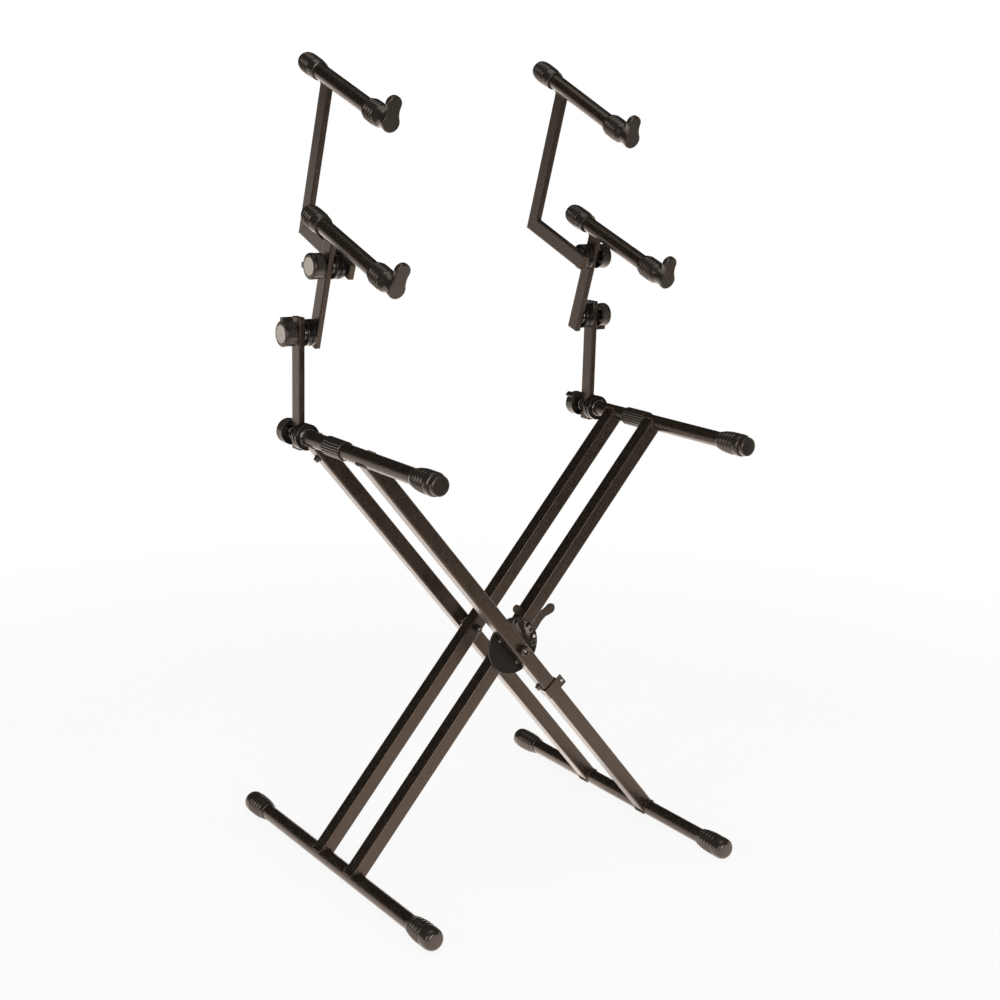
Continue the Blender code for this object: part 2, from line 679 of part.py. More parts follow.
def bolt_profile(end, grip, spacer=None):
    """Profile of a bolt with its head above Z = 0 and its nut below -grip, and with a
    spacer collar between the two depths given, if any."""
    head = PIVOT_HEAD_RADIUS[end]
    points = [
        (0.0, GAP + PIVOT_HEAD),
        (head - 0.001, GAP + PIVOT_HEAD),
        (head, GAP + PIVOT_HEAD - 0.0015),
        (head, GAP),
        (PIVOT_RADIUS, GAP),
    ]
    if spacer:
        points += [
            (PIVOT_RADIUS, -spacer[0] - GAP),
            (PIVOT_NUT_RADIUS + 0.004, -spacer[0] - GAP),
            (PIVOT_NUT_RADIUS + 0.004, -spacer[1] + GAP),
            (PIVOT_RADIUS, -spacer[1] + GAP),
        ]
    points += [
        (PIVOT_RADIUS, -grip - GAP),
        (PIVOT_NUT_RADIUS, -grip - GAP),
        (PIVOT_NUT_RADIUS, -grip - GAP - PIVOT_NUT),
        (0.0, -grip - GAP - PIVOT_NUT),
    ]
    return points


def lock_disc():
    """The steel disc behind the outer front leg, with its row of lock holes."""
    outlines = [circle(DISC_RADIUS, 48), circle(PIVOT_BORE, 24)]
    for step in range(-HOLES_BELOW, HOLES_ABOVE + 1):
        angle = PIN_ANGLE + step * HOLE_PITCH
        centre = (HOLE_CIRCLE * math.cos(angle), HOLE_CIRCLE * math.sin(angle))
        outlines.append(circle(HOLE_RADIUS, 16, centre))
    point = Vector((0.0, DISC_FRONT_Y + DISC_THICKNESS / 2, PIVOT_Z))
    piece("lock_disc", plate(outlines, DISC_THICKNESS), "powder_coat", "outer_frame", point,
          basis(FRONT, EAST))


def release_lever(front_leg):
    """The lever plate through the inner front leg, its pin, and the slot it slides in."""
    outline = [
        (0.0980, 0.0352), (0.0953, 0.0418), (0.0888, 0.0443), (0.0815, 0.0412),
        (0.0730, 0.0358), (0.0620, 0.0340), (0.0440, 0.0338), (0.0280, 0.0305),
        (0.0245, 0.0230), (0.0290, 0.0160), (0.0460, 0.0150), (0.0515, 0.0070),
        (0.0480, -0.0100), (0.0448, -0.0185), (0.0470, -0.0268), (0.0528, -0.0302),
        (0.0588, -0.0268), (0.0604, -0.0190), (0.0612, -0.0060), (0.0665, 0.0110),
        (0.0755, 0.0208), (0.0850, 0.0256), (0.0935, 0.0280),
    ]
    mesh = plate([outline], LEVER_THICKNESS, smooth=True)
    centre = Vector((0.0, LEVER_FRONT_Y + LEVER_THICKNESS / 2, PIVOT_Z))
    turn = basis(BACK, leg_direction("inner"))
    pin_x = HOLE_CIRCLE * math.cos(PIN_ANGLE)
    pin_z = PIVOT_Z + HOLE_CIRCLE * math.sin(PIN_ANGLE)
    body("lock_trigger", Vector((pin_x, LEVER_FRONT_Y, pin_z)), "inner_frame")
    piece("release_lever", mesh, "powder_coat", "lock_trigger", centre, turn)
    tip = DISC_BACK_Y + GAP
    pin = cylinder(PIN_RADIUS, tip - LEVER_FRONT_Y, -GAP, 20)
    piece("lock_pin", pin, "zinc", "lock_trigger", Vector((pin_x, LEVER_FRONT_Y, pin_z)),
          basis(BACK, EAST))
    low, high = SLOT_ALONG
    slot_y = (LEVER_FRONT_Y - 2 * GAP, LEVER_FRONT_Y + LEVER_THICKNESS + LEVER_TRAVEL + 2 * GAP)
    size = box(high - low, LEG_WIDTH + 0.004, slot_y[1] - slot_y[0])
    middle = leg_point("inner", sum(slot_y) / 2, (low + high) / 2)
    combine(front_leg, helper("lever_slot", size, middle, turn))


def leg_clip():
    """The sheet bracket round the outer front leg, with a lug on its right side."""
    outside = LEG_WIDTH / 2 + GAP + CLIP_SHEET
    inside = LEG_WIDTH / 2 + GAP
    depth = LEG_WIDTH / 2 - 0.004
    lug = outside + CLIP_LUG_REACH
    outline = [
        (-outside, depth), (-outside, -outside), (lug, -outside), (lug, -inside),
        (outside, -inside), (outside, depth), (inside, depth), (inside, -inside),
        (-inside, -inside), (-inside, depth),
    ]
    low, high = CLIP_ALONG
    middle = leg_point("outer", OUTER_FRONT_Y, (low + high) / 2)
    turn = basis(-leg_direction("outer"), Vector((math.sin(LEG_ANGLE), 0.0, math.cos(LEG_ANGLE))))
    outline = [(x, -y) for x, y in outline]
    piece("leg_clip", plate([outline], high - low), "powder_coat", "outer_frame", middle, turn)


def leg_studs():
    """The stubby studs on the undersides of the outer legs."""
    underside = -Vector((math.sin(LEG_ANGLE), 0.0, math.cos(LEG_ANGLE)))
    for end, y in (("front", OUTER_FRONT_Y), ("rear", OUTER_REAR_Y)):
        point = leg_point("outer", y, STUD_ALONG[end], -LEG_WIDTH / 2)
        mesh = cylinder(STUD_RADIUS, GAP, GAP + STUD_HEIGHT, 16)
        piece("leg_stud_" + end, mesh, "rubber", "outer_frame", point, basis(underside, BACK))


def build():
    """Build every piece of the stand."""
    pivot = Vector((0.0, LEG_CENTRE_Y, PIVOT_Z))
    body("outer_frame", pivot)
    body("inner_frame", pivot, "outer_frame")
    leg("outer", "front", OUTER_FRONT_Y)
    leg("outer", "rear", OUTER_REAR_Y)
    inner_front = leg("inner", "front", INNER_FRONT_Y)
    leg("inner", "rear", INNER_REAR_Y)
    frame_tubes("outer", "right", "left")
    frame_tubes("inner", "left", "right")
    lock_disc()
    pivot_bolts()
    release_lever(inner_front)
    leg_clip()
    leg_studs()
    tier_stack("left", -1.0, "outer_frame")
    tier_stack("right", 1.0, "inner_frame")


clear_scene()
PARTS = new_collection("keyboard_stand")
CUTTERS = new_collection("cutters")
build()
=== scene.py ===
"""A three-tier keyboard stand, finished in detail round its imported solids.

Two nested leg frames cross at a pivot with a lock disc and a trigger. The top tube of each
frame is a base arm, and a flat post behind it carries two more tiers on clamped rosette
joints. All lengths are in metres in the frame of the solids: X to the stand's right, Y to
its back and Z up.
"""

import json
import logging
import math
from dataclasses import dataclass, field, replace
from enum import Enum
from typing import Optional, Sequence

import bmesh
import bpy
import numpy as np
from mathutils import Matrix

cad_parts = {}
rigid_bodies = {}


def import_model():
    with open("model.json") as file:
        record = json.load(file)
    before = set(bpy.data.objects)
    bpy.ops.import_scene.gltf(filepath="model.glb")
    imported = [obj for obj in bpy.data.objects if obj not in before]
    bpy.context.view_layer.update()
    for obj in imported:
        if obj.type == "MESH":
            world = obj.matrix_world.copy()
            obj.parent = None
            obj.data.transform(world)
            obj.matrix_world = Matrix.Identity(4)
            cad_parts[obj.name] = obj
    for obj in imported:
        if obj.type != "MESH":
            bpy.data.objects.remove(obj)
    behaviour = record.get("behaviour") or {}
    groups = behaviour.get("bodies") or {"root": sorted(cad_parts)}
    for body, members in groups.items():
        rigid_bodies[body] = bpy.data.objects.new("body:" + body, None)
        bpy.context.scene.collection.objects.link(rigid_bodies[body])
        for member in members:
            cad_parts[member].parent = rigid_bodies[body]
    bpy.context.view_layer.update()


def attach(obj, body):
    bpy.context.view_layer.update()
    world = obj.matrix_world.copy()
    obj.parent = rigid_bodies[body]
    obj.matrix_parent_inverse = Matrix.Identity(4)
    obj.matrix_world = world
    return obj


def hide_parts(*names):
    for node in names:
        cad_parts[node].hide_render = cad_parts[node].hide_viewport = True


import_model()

LOG = logging.getLogger("keyboard_stand")
Array = np.ndarray
Colour = tuple[float, float, float]

EAST = np.array([1.0, 0.0, 0.0])
BACK = np.array([0.0, 1.0, 0.0])
FRONT = -BACK
UP = np.array([0.0, 0.0, 1.0])
GAP = 0.0003
MM = 0.001
MERGE = 1e-6
TINY = 1e-9
RIPPLE_PITCH = 0.0017
RIPPLE_DEPTH = 0.14
WELD_STEP = 0.0006
PLAIN_CREASE = 34.0
RIBS_CREASE = 60.0


class Side(Enum):
    """The player's left or right side of the stand."""

    LEFT = "left"
    RIGHT = "right"

    @property
    def sign(self) -> float:
        """-1 on the left and +1 on the right."""
        return -1.0 if self is Side.LEFT else 1.0


class Kind(Enum):
    """The wider or the narrower leg frame."""

    OUTER = "outer"
    INNER = "inner"

    @property
    def lean(self) -> float:
        """The way that the legs lean as they rise: -1 to the left, +1 to the right."""
        return -1.0 if self is Kind.OUTER else 1.0

    @property
    def foot_side(self) -> Side:
        """The side that the frame's foot tube is on."""
        return Side.RIGHT if self is Kind.OUTER else Side.LEFT

    @property
    def arm_side(self) -> Side:
        """The side that the frame's base arm is on."""
        return Side.LEFT if self is Kind.OUTER else Side.RIGHT


class Slot(Enum):
    """Material slots of the record."""

    POWDER_COAT = "powder_coat"
    RUBBER = "rubber"
    ROSETTE = "rosette"
    KNOB = "knob"
    ZINC = "zinc"


@dataclass(frozen=True)
class StandSizes:
    """Sizes that the sub-assemblies share, and the places that follow from them."""

    leg_width: float = 0.025
    leg_wall: float = 0.0015
    leg_corner: float = 0.0028
    leg_half_length: float = 0.4447
    leg_angle: float = math.radians(49.9)
    leg_centre_y: float = -0.003
    outer_leg_offset: float = 0.0805
    inner_leg_offset: float = 0.0508
    tube_radius: float = 0.0125
    tube_wall: float = 0.0015
    foot_reach: float = 0.296
    arm_front_reach: float = 0.283
    arm_rear_reach: float = 0.094
    cap_radius: float = 0.018
    cap_length: float = 0.063
    cap_pocket: float = 0.056
    flat_depth: float = 0.025
    flat_thickness: float = 0.010
    rosette_stack: float = 0.021
    bore_radius: float = 0.0033

    @property
    def foot_z(self) -> float:
        """Height of the foot tubes' axes."""
        return self.cap_radius

    @property
    def arm_x(self) -> float:
        """Distance of the base arms' axes from the middle."""
        return self.leg_half_length * math.cos(self.leg_angle)

    @property
    def pivot_z(self) -> float:
        """Height of the legs' pivot."""
        return self.foot_z + self.leg_half_length * math.sin(self.leg_angle)

    @property
    def arm_z(self) -> float:
        """Height of the base arms' axes."""
        return self.pivot_z + self.leg_half_length * math.sin(self.leg_angle)

    @property
    def arm_rear(self) -> float:
        """Y of the base arms' rear ends."""
        return self.leg_centre_y + self.arm_rear_reach

    @property
    def arm_front(self) -> float:
        """Y of the base arms' front faces."""
        return self.leg_centre_y - self.arm_front_reach

    @property
    def post_y(self) -> float:
        """Y of the posts' middle lines."""
        return self.arm_rear + self.rosette_stack + self.flat_depth / 2

    @property
    def tier_pitch(self) -> float:
        """Distance across from one flat tube of a stack to the next."""
        return self.rosette_stack + self.flat_thickness

    @property
    def rosette_thickness(self) -> float:
        """Thickness of one rosette of a pair."""
        return (self.rosette_stack - 3 * GAP) / 2

    def leg_y(self, kind: Kind, end: str) -> float:
        """Y of a leg's middle line, for its frame and its front or rear end."""
        reach = self.outer_leg_offset if kind is Kind.OUTER else self.inner_leg_offset
        return self.leg_centre_y + (-reach if end == "front" else reach)

    def leg_run(self, kind: Kind) -> Array:
        """Unit vector up along a frame's legs."""
        return np.array([kind.lean * math.cos(self.leg_angle), 0.0, math.sin(self.leg_angle)])

    def leg_point(self, kind: Kind, y: float, along: float, across: float = 0.0) -> Array:
        """A point of a leg, from the pivot.

        Args:
            kind: The frame that the leg belongs to.
            y: Depth of the point.
            along: Distance upwards on the inner frame, downwards on the outer one.
            across: Distance from the middle line towards the stand's right.

        Returns:
            The point.
        """
        run = np.array([math.cos(self.leg_angle), 0.0, kind.lean * math.sin(self.leg_angle)])
        place = np.array([0.0, y, self.pivot_z])
        return place + run * along + self.leg_side(kind) * across

    def leg_side(self, kind: Kind) -> Array:
        """Unit vector across a frame's legs, towards the stand's right."""
        return np.array([math.sin(self.leg_angle), 0.0, -kind.lean * math.cos(self.leg_angle)])


SIZES = StandSizes()


# ---------------------------------------------------------------- outlines and profiles


def unit(vector: Array) -> Array:
    """The vector at length 1."""
    return vector / np.linalg.norm(vector)


def unit_rows(vectors: Array) -> Array:
    """The rows, each at length 1."""
    return vectors / np.maximum(np.linalg.norm(vectors, axis=1), TINY)[:, None]


def axes_of(z_axis: Array, x_axis: Array) -> Array:
    """Rows of the local X, Y and Z axes, X being squared up to Z."""
    z_unit = unit(z_axis)
    x_unit = unit(x_axis - z_unit * (x_axis @ z_unit))
    return np.stack([x_unit, np.cross(z_unit, x_unit), z_unit])


def softened(corners: Sequence[Sequence[float]], closed: bool = False, steps: int = 3) -> Array:
    """A path of straight runs whose corners are arcs.

    Each corner (x, y, radius) becomes the arc of that radius which touches both of its
    runs: its middle lies on their bisector at radius / sin(half of their angle).

    Args:
        corners: The corners, each with its radius, 0 for a sharp one.
        closed: Whether the last corner joins the first.
        steps: Steps of each arc.

    Returns:
        The path's points, one row each.
    """
    points = np.array([corner[:2] for corner in corners], dtype=float)
    pieces = []
    for index, corner in enumerate(corners):
        here = points[index]
        if corner[2] <= 0.0 or (not closed and index in (0, len(corners) - 1)):
            pieces.append(here[None])
            continue
        before = unit(points[index - 1] - here)
        after = unit(points[(index + 1) % len(corners)] - here)
        half = math.acos(max(-1.0, min(1.0, float(before @ after)))) / 2
        middle = here + unit(before + after) * corner[2] / math.sin(half)
        start = here + before * corner[2] / math.tan(half) - middle
        end = here + after * corner[2] / math.tan(half) - middle
        first = math.atan2(start[1], start[0])
        sweep = (math.atan2(end[1], end[0]) - first + math.pi) % (2 * math.pi) - math.pi
        turns = first + sweep * np.linspace(0.0, 1.0, steps + 1)
        pieces.append(middle + corner[2] * np.stack([np.cos(turns), np.sin(turns)], axis=1))
    return np.vstack(pieces)


def held(points: Array, margin: float) -> Array:
    """The path with two more points on each long run, a margin from its ends."""
    start, end = points[:-1], points[1:]
    length = np.linalg.norm(end - start, axis=1)
    run = unit_rows(end - start)
    rows = np.stack([start, start + run * margin, end - run * margin], axis=1)
    long = length > 4 * margin
    path = rows[np.stack([np.ones_like(long), long, long], axis=1)]
    return np.vstack([path, points[-1:]])


def dense(points: Array, spacing: float, closed: bool = False) -> Array:
    """The path with more points on it, at most a spacing apart.

    Args:
        points: The path, one row a point.
        spacing: The longest step that is left, about.
        closed: Whether its last point joins the first.

    Returns:
        The path with its own points and the new ones.
    """
    loop = np.vstack([points, points[:1]]) if closed else points
    reach = np.concatenate([[0.0], np.cumsum(np.linalg.norm(np.diff(loop, axis=0), axis=1))])
    more = np.arange(0.0, reach[-1], spacing)
    far = np.min(np.abs(more[:, None] - reach[None]), axis=1) > spacing * 0.3
    places = np.sort(np.concatenate([reach, more[far]]))
    path = np.stack([np.interp(places, reach, loop[:, k]) for k in range(loop.shape[1])], axis=1)
    return path[:-1] if closed else path


def bend_weight(points: Array, closed: bool) -> Array:
    """How much a path turns at each point: 0 up to 16 degrees, rising to 1 at 26.

    Args:
        points: The path, one row a point.
        closed: Whether its last point joins the first.

    Returns:
        The weights, one a point.
    """
    run = np.roll(points, -1, axis=0) - points
    before = np.roll(run, 1, axis=0)
    turn = np.abs(
        np.arctan2(before[:, 0] * run[:, 1] - before[:, 1] * run[:, 0], (before * run).sum(1))
    )
    weight = np.clip((np.degrees(turn) - 16.0) / 10.0, 0.0, 1.0)
    if not closed:
        weight[[0, -1]] = 0.0
    return weight


def rounded_box_outline(width: float, depth: float, corner: float, steps: int = 4) -> Array:
    """Counter-clockwise outline of a rectangle with arcs for corners."""
    across, up = width / 2, depth / 2
    corners = [(across, up), (-across, up), (-across, -up), (across, -up)]
    return softened([(x, y, corner) for x, y in corners], closed=True, steps=steps)


def all_round(steps: int) -> Array:
    """Angles of the steps once round a circle."""
    return np.arange(steps) * (2 * math.pi / steps)


def round_outline(radius: float, steps: int) -> Array:
    """Counter-clockwise circle."""
    turns = all_round(steps)
    return radius * np.stack([np.cos(turns), np.sin(turns)], axis=1)


def smooth_outline(points: Sequence[Sequence[float]], steps: int = 8) -> Array:
    """Closed Catmull-Rom curve.

    Between two points p1 and p2 it is the cubic that leaves p1 along (p2 - p0) / 2 and
    reaches p2 along (p3 - p1) / 2.

    Args:
        points: The points that the curve passes through.
        steps: Steps from one point to the next.

    Returns:
        The curve's points, counter-clockwise.
    """
    mids = np.array(points, dtype=float)
    p0, p2, p3 = (np.roll(mids, shift, axis=0)[:, None] for shift in (1, -1, -2))
    p1 = mids[:, None]
    t = (np.arange(steps) / steps)[None, :, None]
    curve = 0.5 * (
        2 * p1
        + (p2 - p0) * t
        + (2 * p0 - 5 * p1 + 4 * p2 - p3) * t**2
        + (3 * p1 - p0 - 3 * p2 + p3) * t**3
    )
    path = curve.reshape(-1, 2)
    area = np.sum(path[:, 0] * np.roll(path[:, 1], -1) - path[:, 1] * np.roll(path[:, 0], -1))
    return path if area > 0 else path[::-1]


def inward(outline: Array) -> Array:
    """Vectors that move a counter-clockwise outline in by 1, mitred at its corners."""
    run = unit_rows(np.roll(outline, -1, axis=0) - outline)
    left = np.stack([-run[:, 1], run[:, 0]], axis=1)
    before = np.roll(left, 1, axis=0)
    return (left + before) / np.maximum(1.0 + (left * before).sum(1), 0.3)[:, None]


def rounded_levels(low: float, high: float, corner: float, steps: int = 3) -> Array:
    """Levels (inset, height) of a plate whose edges are quarter arcs.

    Args:
        low: Height of the first face.
        high: Height of the last face.
        corner: Radius of the arcs.
        steps: Steps of each arc.

    Returns:
        The levels, one row each, from low to high.
    """
    turns = np.linspace(0.0, math.pi / 2, steps + 1)
    inset = corner * (1 - np.sin(turns))
    rise = corner * (1 - np.cos(turns))
    first = np.stack([inset, low + rise], axis=1)
    last = np.stack([inset[::-1], high - rise[::-1]], axis=1)
    return np.vstack([first, last])


def eased(values: Array) -> Array:
    """Smooth step: 0 below 0, 1 above 1 and 3 t^2 - 2 t^3 between."""
    t = np.clip(values, 0.0, 1.0)
    return t * t * (3 - 2 * t)


# ---------------------------------------------------------------- skins


@dataclass
class Skin:
    """Points and faces of one piece while it is worked out, with an edge weight a point."""

    points: list[Array] = field(default_factory=list)
    weights: list[Array] = field(default_factory=list)
    faces: list[Sequence[int]] = field(default_factory=list)
    count: int = 0

    def add_grid(
        self, grid: Array, weight: Optional[Array] = None, loop_rows: bool = False,
    ) -> "Skin":
        """Add a surface given as rows and columns of points, the columns in a loop.

        Args:
            grid: Points, rows by columns by 3.
            weight: Edge weight, rows by columns, or None for 0.
            loop_rows: Whether the last row joins the first.

        Returns:
            This skin.
        """
        rows, cols = grid.shape[:2]
        index = np.arange(rows * cols).reshape(rows, cols) + self.count
        if loop_rows:
            index = np.vstack([index, index[:1]])
        index = np.hstack([index, index[:, :1]])
        quads = np.stack([index[:-1, :-1], index[1:, :-1], index[1:, 1:], index[:-1, 1:]], axis=-1)
        self.faces.extend(quads.reshape(-1, 4).tolist())
        self.points.append(grid.reshape(-1, 3))
        flat = np.zeros((rows, cols)) if weight is None else np.broadcast_to(weight, (rows, cols))
        self.weights.append(flat.reshape(-1))
        self.count += rows * cols
        return self

    def add_cap(self, row: Array) -> "Skin":
        """Add one flat face over a row of points."""
        self.faces.append(list(range(self.count, self.count + len(row))))
        self.points.append(row)
        self.weights.append(np.zeros(len(row)))
        self.count += len(row)
        return self

    def turn(
        self, profile: Array, origin: Array, axis: Array, x_axis: Array = UP, steps: int = 64,
        radius: Optional[Array] = None, height: Optional[Array] = None, ring: bool = False,
    ) -> "Skin":
        """Turn a profile about an axis: (r, z) goes to (r cos t, r sin t, z).

        Args:
            profile: Points (r, z), one row each.
            origin: The point where z is 0.
            axis: Direction of z.
            x_axis: Direction where the turn t is 0.
            steps: Columns round the axis.
            radius: Radii, rows by columns, in place of the profile's own.
            height: Heights, rows by columns, in place of the profile's own.
            ring: Whether the profile closes on itself.

        Returns:
            This skin.
        """
        turns = all_round(steps)
        shape = (len(profile), steps)
        far = np.broadcast_to(profile[:, :1] if radius is None else radius, shape)
        rise = np.broadcast_to(profile[:, 1:2] if height is None else height, shape)
        grid = np.stack([far * np.cos(turns), far * np.sin(turns), rise], axis=-1)
        weight = bend_weight(profile, ring)[:, None]
        return self.add_grid(origin + grid @ axes_of(axis, x_axis), weight, loop_rows=ring)

    def push(
        self, outline: Array, levels: Array, origin: Array, axis: Array, x_axis: Array
    ) -> "Skin":
        """Push an outline along an axis, moved in by each level's inset.

        A point is the outline's point + inset times its inward vector, at the height.

        Args:
            outline: Counter-clockwise points (x, y).
            levels: Rows of (inset, height).
            origin: The point where x, y and height are 0.
            axis: Direction of the height.
            x_axis: Direction of x.

        Returns:
            This skin, with a flat face at the first and last level.
        """
        flat = outline[None] + levels[:, :1, None] * inward(outline)[None]
        rise = np.broadcast_to(levels[:, 1:2], flat.shape[:2])
        grid = np.dstack([flat, rise]) @ axes_of(axis, x_axis) + origin
        level_weight = bend_weight(levels, False)
        level_weight[[1, -2]] = np.maximum(level_weight[[1, -2]], 0.6)
        weight = np.maximum(bend_weight(outline, True)[None], level_weight[:, None])
        self.add_grid(grid, weight)
        return self.add_cap(grid[0]).add_cap(grid[-1])

    def bead(self, path: Array, normals: Array, radius: float, closed: bool = True) -> "Skin":
        """Lay a rippled weld bead along a path.

        A point is path + r (N cos t + B sin t), with N the normal, B = tangent x N and
        r = radius (1 + 0.14 sin of the length run, one wave in 1.7 mm).

        Args:
            path: Points of the bead's middle line.
            normals: Unit vectors square to the path.
            radius: Radius of the bead.
            closed: Whether the path closes on itself.

        Returns:
            This skin.
        """
        ahead = np.roll(path, -1, axis=0) - path
        behind = path - np.roll(path, 1, axis=0)
        if not closed:
            ahead[-1], behind[0] = behind[-1], ahead[0]
        across = np.cross(unit_rows(ahead + behind), normals)
        run = np.concatenate([[0.0], np.cumsum(np.linalg.norm(np.diff(path, axis=0), axis=1))])
        waves = max(1, round(run[-1] / RIPPLE_PITCH))
        far = radius * (1 + RIPPLE_DEPTH * np.sin(2 * math.pi * waves * run / run[-1]))
        if not closed:
            far = far * np.sqrt(np.clip(1 - np.abs(2 * run / run[-1] - 1) ** 12, 0.0, 1.0))
        turns = all_round(10)[None, :, None]
        ring = normals[:, None] * np.cos(turns) + across[:, None] * np.sin(turns)
        return self.add_grid(path[:, None] + ring * far[:, None, None], loop_rows=closed)

    def mesh(self, name: str) -> bpy.types.Mesh:
        """The skin as a mesh, its doubles merged and its faces turned outwards.

        Args:
            name: Name of the mesh.

        Returns:
            The mesh, with the edge weights in its attribute "edge".
        """
        mesh = bpy.data.meshes.new(name)
        mesh.from_pydata(np.vstack(self.points).tolist(), [], self.faces)
        layer = mesh.attributes.new("edge", "FLOAT", "POINT")
        layer.data.foreach_set("value", np.concatenate(self.weights).astype(np.float32))
        work = bmesh.new()
        work.from_mesh(mesh)
        bmesh.ops.remove_doubles(work, verts=work.verts, dist=MERGE)
        bmesh.ops.dissolve_degenerate(work, edges=work.edges, dist=MERGE)
        bmesh.ops.recalc_face_normals(work, faces=work.faces)
        work.to_mesh(mesh)
        work.free()
        return mesh


# ---------------------------------------------------------------- finishes


@dataclass(frozen=True)
class CoatFinish:
    """A painted or moulded finish: two tones of grain, gloss, relief, dust, and pale edges that are
    partly scuffed from use and partly a painted highlight.
    """

    name: str
    slot: Slot
    dark: Colour
    light: Colour
    # Tone of the pale rounded edges: partly scuffing from use, partly a painted highlight.
    worn_highlight: Colour
    smooth: float
    rough: float
    grain: float
    mottle: float
    relief: float
    # Amount of those pale edges, scuffing and painted highlight alike.
    wear_highlight: float
    dust: float
    density: float = 1.5
    tint: Colour = (1.0, 1.0, 1.0)
    coat: float = 0.0
    lines: float = 0.0


@dataclass(frozen=True)
class MetalFinish:
    """A plated metal: two tones, the range of its roughness and the scale of its grain."""

    name: str
    slot: Slot
    dark: Colour
    light: Colour
    smooth: float
    rough: float
    grain: float
    relief: float


POWDER_COAT = CoatFinish(
    name="speckled_powder_coat", slot=Slot.POWDER_COAT, dark=(0.0024, 0.0019, 0.0014),
    light=(0.0310, 0.0236, 0.0172), worn_highlight=(0.085, 0.068, 0.054), smooth=0.31, rough=0.38,
    grain=380.0, mottle=300.0, relief=0.00005, wear_highlight=0.35, dust=0.03, density=1.62,
    tint=(1.0, 0.72, 0.52), coat=0.30,
)
# On the lock disc the strong pale edge tone is a painted highlight along its rim.
LOCK_COAT = replace(
    POWDER_COAT, name="dark_lock_coat", dark=(0.0035, 0.0030, 0.0026),
    light=(0.0130, 0.0112, 0.0095), worn_highlight=(0.320, 0.275, 0.235), wear_highlight=0.80, density=1.42,
    tint=(0.55, 0.44, 0.36), coat=0.0,
)
# The disc's spot welds are coloured pale as a painted highlight, not as their own coat.
PAINTED_HIGHLIGHT_WELD = CoatFinish(
    name="weld_painted_highlight", slot=Slot.POWDER_COAT, dark=(0.120, 0.104, 0.088),
    light=(0.300, 0.270, 0.235), worn_highlight=(0.40, 0.36, 0.32), smooth=0.25, rough=0.45, grain=900.0,
    mottle=300.0, relief=0.00004, wear_highlight=0.35, dust=0.0, density=1.6, tint=(1.0, 0.9, 0.8),
)
RUBBER = CoatFinish(
    name="moulded_rubber", slot=Slot.RUBBER, dark=(0.0160, 0.0132, 0.0108),
    light=(0.0270, 0.0222, 0.0182), worn_highlight=(0.070, 0.060, 0.052), smooth=0.24, rough=0.27,
    grain=640.0, mottle=300.0, relief=0.00001, wear_highlight=0.30, dust=0.05, density=1.7,
    tint=(1.0, 0.86, 0.76),
)
ROSETTE = CoatFinish(
    name="glossy_rosette_plastic", slot=Slot.ROSETTE, dark=(0.0050, 0.0042, 0.0036),
    light=(0.0150, 0.0125, 0.0105), worn_highlight=(0.050, 0.044, 0.038), smooth=0.14, rough=0.28,
    grain=420.0, mottle=90.0, relief=0.00002, wear_highlight=0.25, dust=0.05, density=1.6,
    tint=(1.0, 0.90, 0.82),
)
KNOB = CoatFinish(
    name="knob_plastic", slot=Slot.KNOB, dark=(0.0055, 0.0046, 0.0038),
    light=(0.0210, 0.0170, 0.0135), worn_highlight=(0.070, 0.060, 0.050), smooth=0.22, rough=0.38,
    grain=560.0, mottle=110.0, relief=0.00003, wear_highlight=0.50, dust=0.04, density=1.7,
    tint=(1.0, 0.86, 0.76),
)
INSERT = CoatFinish(
    name="knob_insert", slot=Slot.KNOB, dark=(0.480, 0.425, 0.370), light=(0.660, 0.600, 0.535),
    worn_highlight=(0.70, 0.65, 0.59), smooth=0.30, rough=0.48, grain=500.0, mottle=160.0, relief=0.00004,
    wear_highlight=0.40, dust=0.03, lines=0.45,
)
ZINC = MetalFinish(
    name="bright_zinc", slot=Slot.ZINC, dark=(0.56, 0.54, 0.51), light=(0.80, 0.78, 0.74),
    smooth=0.18, rough=0.38, grain=900.0, relief=0.00003,
)
DUST_COLOUR = (0.120, 0.105, 0.090)
DUST_ROUGHNESS = 0.8
COAT_SMOOTHING = 0.8
BUMP_STRENGTH = 0.6


